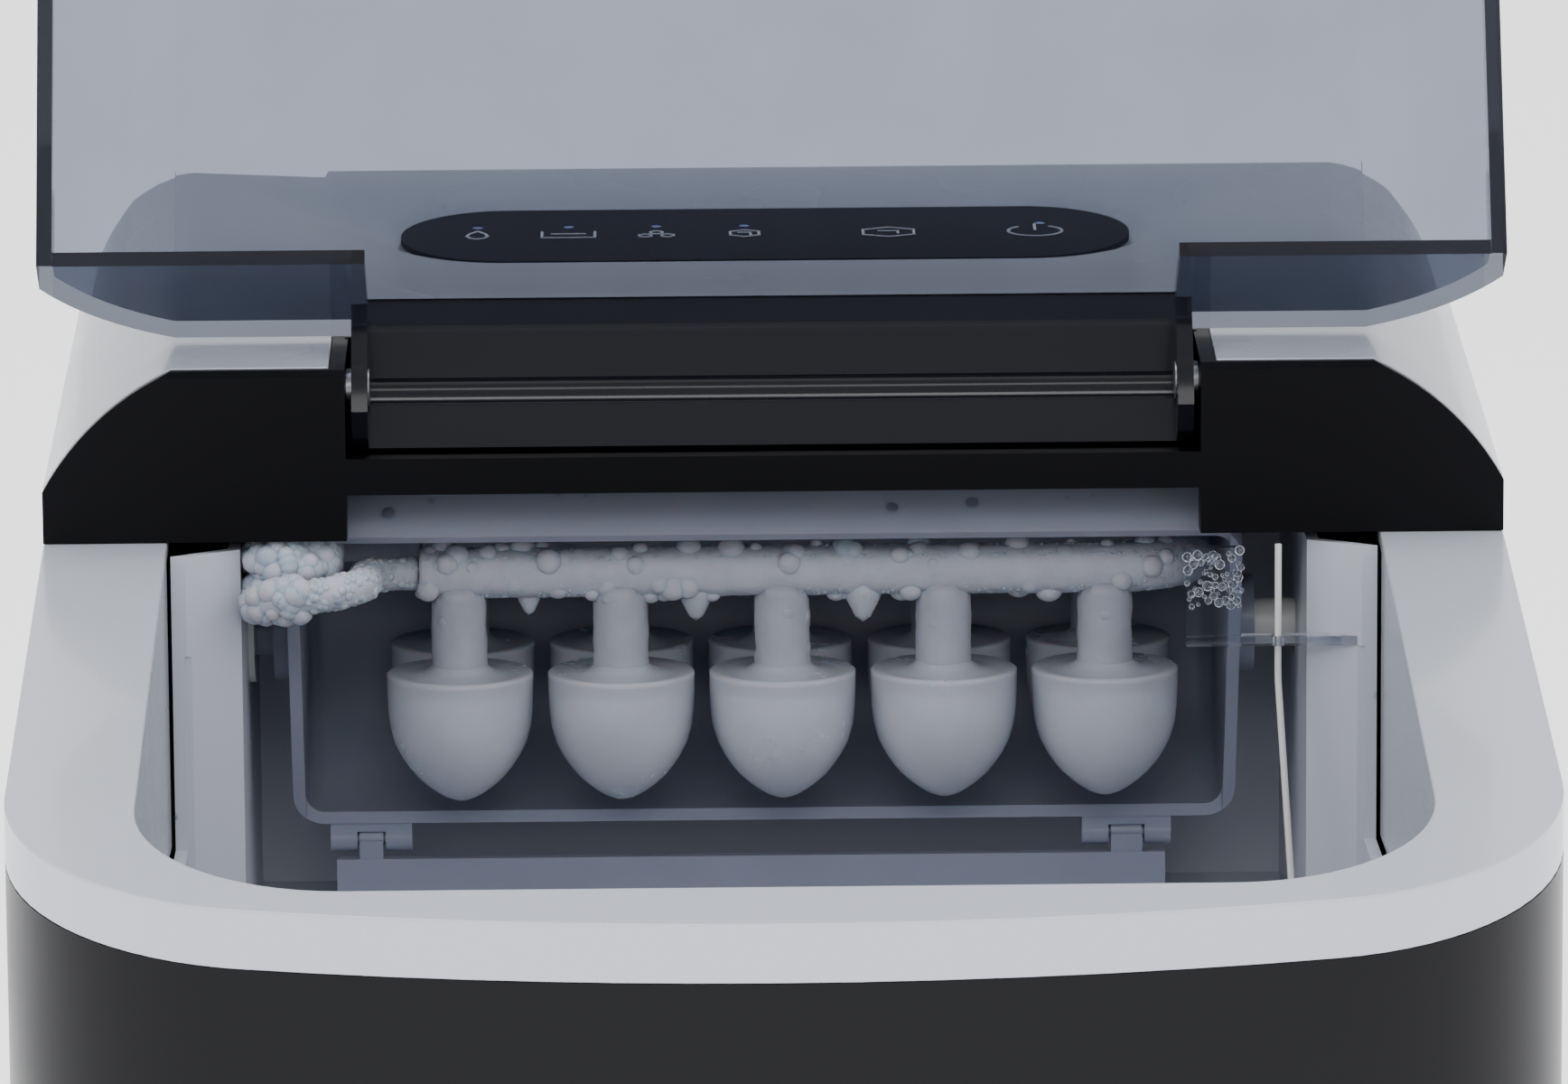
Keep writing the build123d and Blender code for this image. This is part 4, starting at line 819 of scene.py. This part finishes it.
class ICEMAKER_OT_cooling(bpy.types.Operator):
    """Finish the compressor, the condenser, the pipes and the valves"""

    bl_idname = "icemaker.cooling"
    bl_label = "Cooling set"

    def execute(self, context):
        dress(moulded("black_enamel", lin(20, 20, 22), 0.35, 400, 0.3, 0.15 * MM), "compressor")
        dress(metal("rolled_fins", lin(196, 198, 202), 0.32, (1, 1, 20)), "condenser_fins")
        dress(metal("drawn_copper", lin(198, 122, 84), 0.3), "condenser_bends", "hot_gas_pipe", "discharge_pipe",
              "filter_drier", "capillary_tube")
        dress(metal("bright_brass", lin(206, 176, 112), 0.28), "solenoid_valve", "inlet_pins")
        return {"FINISHED"}


class ICEMAKER_OT_studio(bpy.types.Operator):
    """Set up the pale floor, the soft lights and the camera"""

    bl_idname = "icemaker.studio"
    bl_label = "Studio"

    def execute(self, context):
        scene = context.scene
        work = bmesh.new()
        reach = 14.0
        air = (0.98, 0.985, 1.0, 1)
        corners = ((-1, -1), (1, -1), (1, 1), (-1, 1))
        work.faces.new([work.verts.new((x * reach, y * reach, -0.05 * MM)) for x, y in corners])
        mesh = bpy.data.meshes.new("studio_floor")
        work.to_mesh(mesh)
        work.free()
        floor = bpy.data.objects.new("studio_floor", mesh)
        scene.collection.objects.link(floor)
        paper = moulded("studio_paper", lin(250, 250, 251), 0.8, 500, 0.05, 0.1 * MM, mottle=0.0, specular=0.1)
        glow = paper.node_tree.nodes["Principled BSDF"]
        glow.inputs["Emission Color"].default_value = air
        glow.inputs["Emission Strength"].default_value = 0.9
        mesh.materials.append(paper)

        world = bpy.data.worlds.new("studio_air")
        world.use_nodes = True
        world.node_tree.nodes["Background"].inputs["Color"].default_value = air
        world.node_tree.nodes["Background"].inputs["Strength"].default_value = 1.15
        scene.world = world
        # name, place, aim, width and height in metres, power in watts
        for name, place, aim, width, height, power in (
                ("top_softbox", (0.0, 0.0, 2.4), (0, 0, 0.2), 1.4, 0.7, 22),
                ("left_softbox", (-1.9, -0.9, 1.4), (0, -0.1, 0.2), 1.0, 1.0, 9),
                ("right_softbox", (1.9, -0.9, 1.4), (0, -0.1, 0.2), 1.0, 1.0, 9),
                ("front_softbox", (0.0, -2.2, 1.4), (0, 0, 0.22), 1.2, 0.5, 9)):
            light = bpy.data.lights.new(name, "AREA")
            light.shape = "RECTANGLE"
            light.size, light.size_y, light.energy = width, height, power
            lamp = bpy.data.objects.new(name, light)
            lamp.location = place
            lamp.rotation_euler = (Vector(aim) - Vector(place)).to_track_quat("-Z", "Y").to_euler()
            scene.collection.objects.link(lamp)

        camera = bpy.data.objects.new("camera", bpy.data.cameras.new("camera"))
        camera.data.sensor_width = 36
        camera.data.lens = 219.8
        camera.data.clip_end = 20
        target = Vector((1.6, -6, 263)) * MM
        elevation = math.radians(10.7)
        yaw = math.radians(0.78)
        roll = math.radians(-0.4)
        distance = 1.547
        away = Vector((-math.sin(yaw) * math.cos(elevation), -math.cos(yaw) * math.cos(elevation),
                       math.sin(elevation)))
        facing = (-away).to_track_quat("-Z", "Y").to_matrix().to_4x4()
        camera.matrix_world = Matrix.Translation(target + away * distance) @ facing @ Matrix.Rotation(roll, 4, "Z")
        scene.collection.objects.link(camera)
        scene.camera = camera
        return {"FINISHED"}


class ICEMAKER_PT_sidebar(bpy.types.Panel):
    """Lists the pieces and their settings"""

    bl_label = "Ice maker"
    bl_idname = "ICEMAKER_PT_sidebar"
    bl_space_type = "VIEW_3D"
    bl_region_type = "UI"
    bl_category = "Ice maker"

    def draw(self, context):
        for group in (context.scene.ice_maker_sizes, context.scene.ice_maker_colours):
            for key in group.__annotations__:
                self.layout.prop(group, key)
        for operator in OPERATORS:
            self.layout.operator(operator.bl_idname)


OPERATORS = (ICEMAKER_OT_studio, ICEMAKER_OT_cabinet, ICEMAKER_OT_lid, ICEMAKER_OT_tray, ICEMAKER_OT_evaporator,
             ICEMAKER_OT_drops, ICEMAKER_OT_panel, ICEMAKER_OT_basket, ICEMAKER_OT_cooling)
CLASSES = (IceMakerSizes, IceMakerColours, *OPERATORS, ICEMAKER_PT_sidebar)


def register():
    for cls in CLASSES:
        bpy.utils.register_class(cls)
    bpy.types.Scene.ice_maker_sizes = bpy.props.PointerProperty(type=IceMakerSizes)
    bpy.types.Scene.ice_maker_colours = bpy.props.PointerProperty(type=IceMakerColours)


def unregister():
    del bpy.types.Scene.ice_maker_colours
    del bpy.types.Scene.ice_maker_sizes
    for cls in reversed(CLASSES):
        bpy.utils.unregister_class(cls)


def main():
    """Registers the add-on and makes every piece in order."""
    register()
    for operator in OPERATORS:
        group, name = operator.bl_idname.split(".")
        getattr(getattr(bpy.ops, group), name)()


if __name__ == "__main__":
    main()
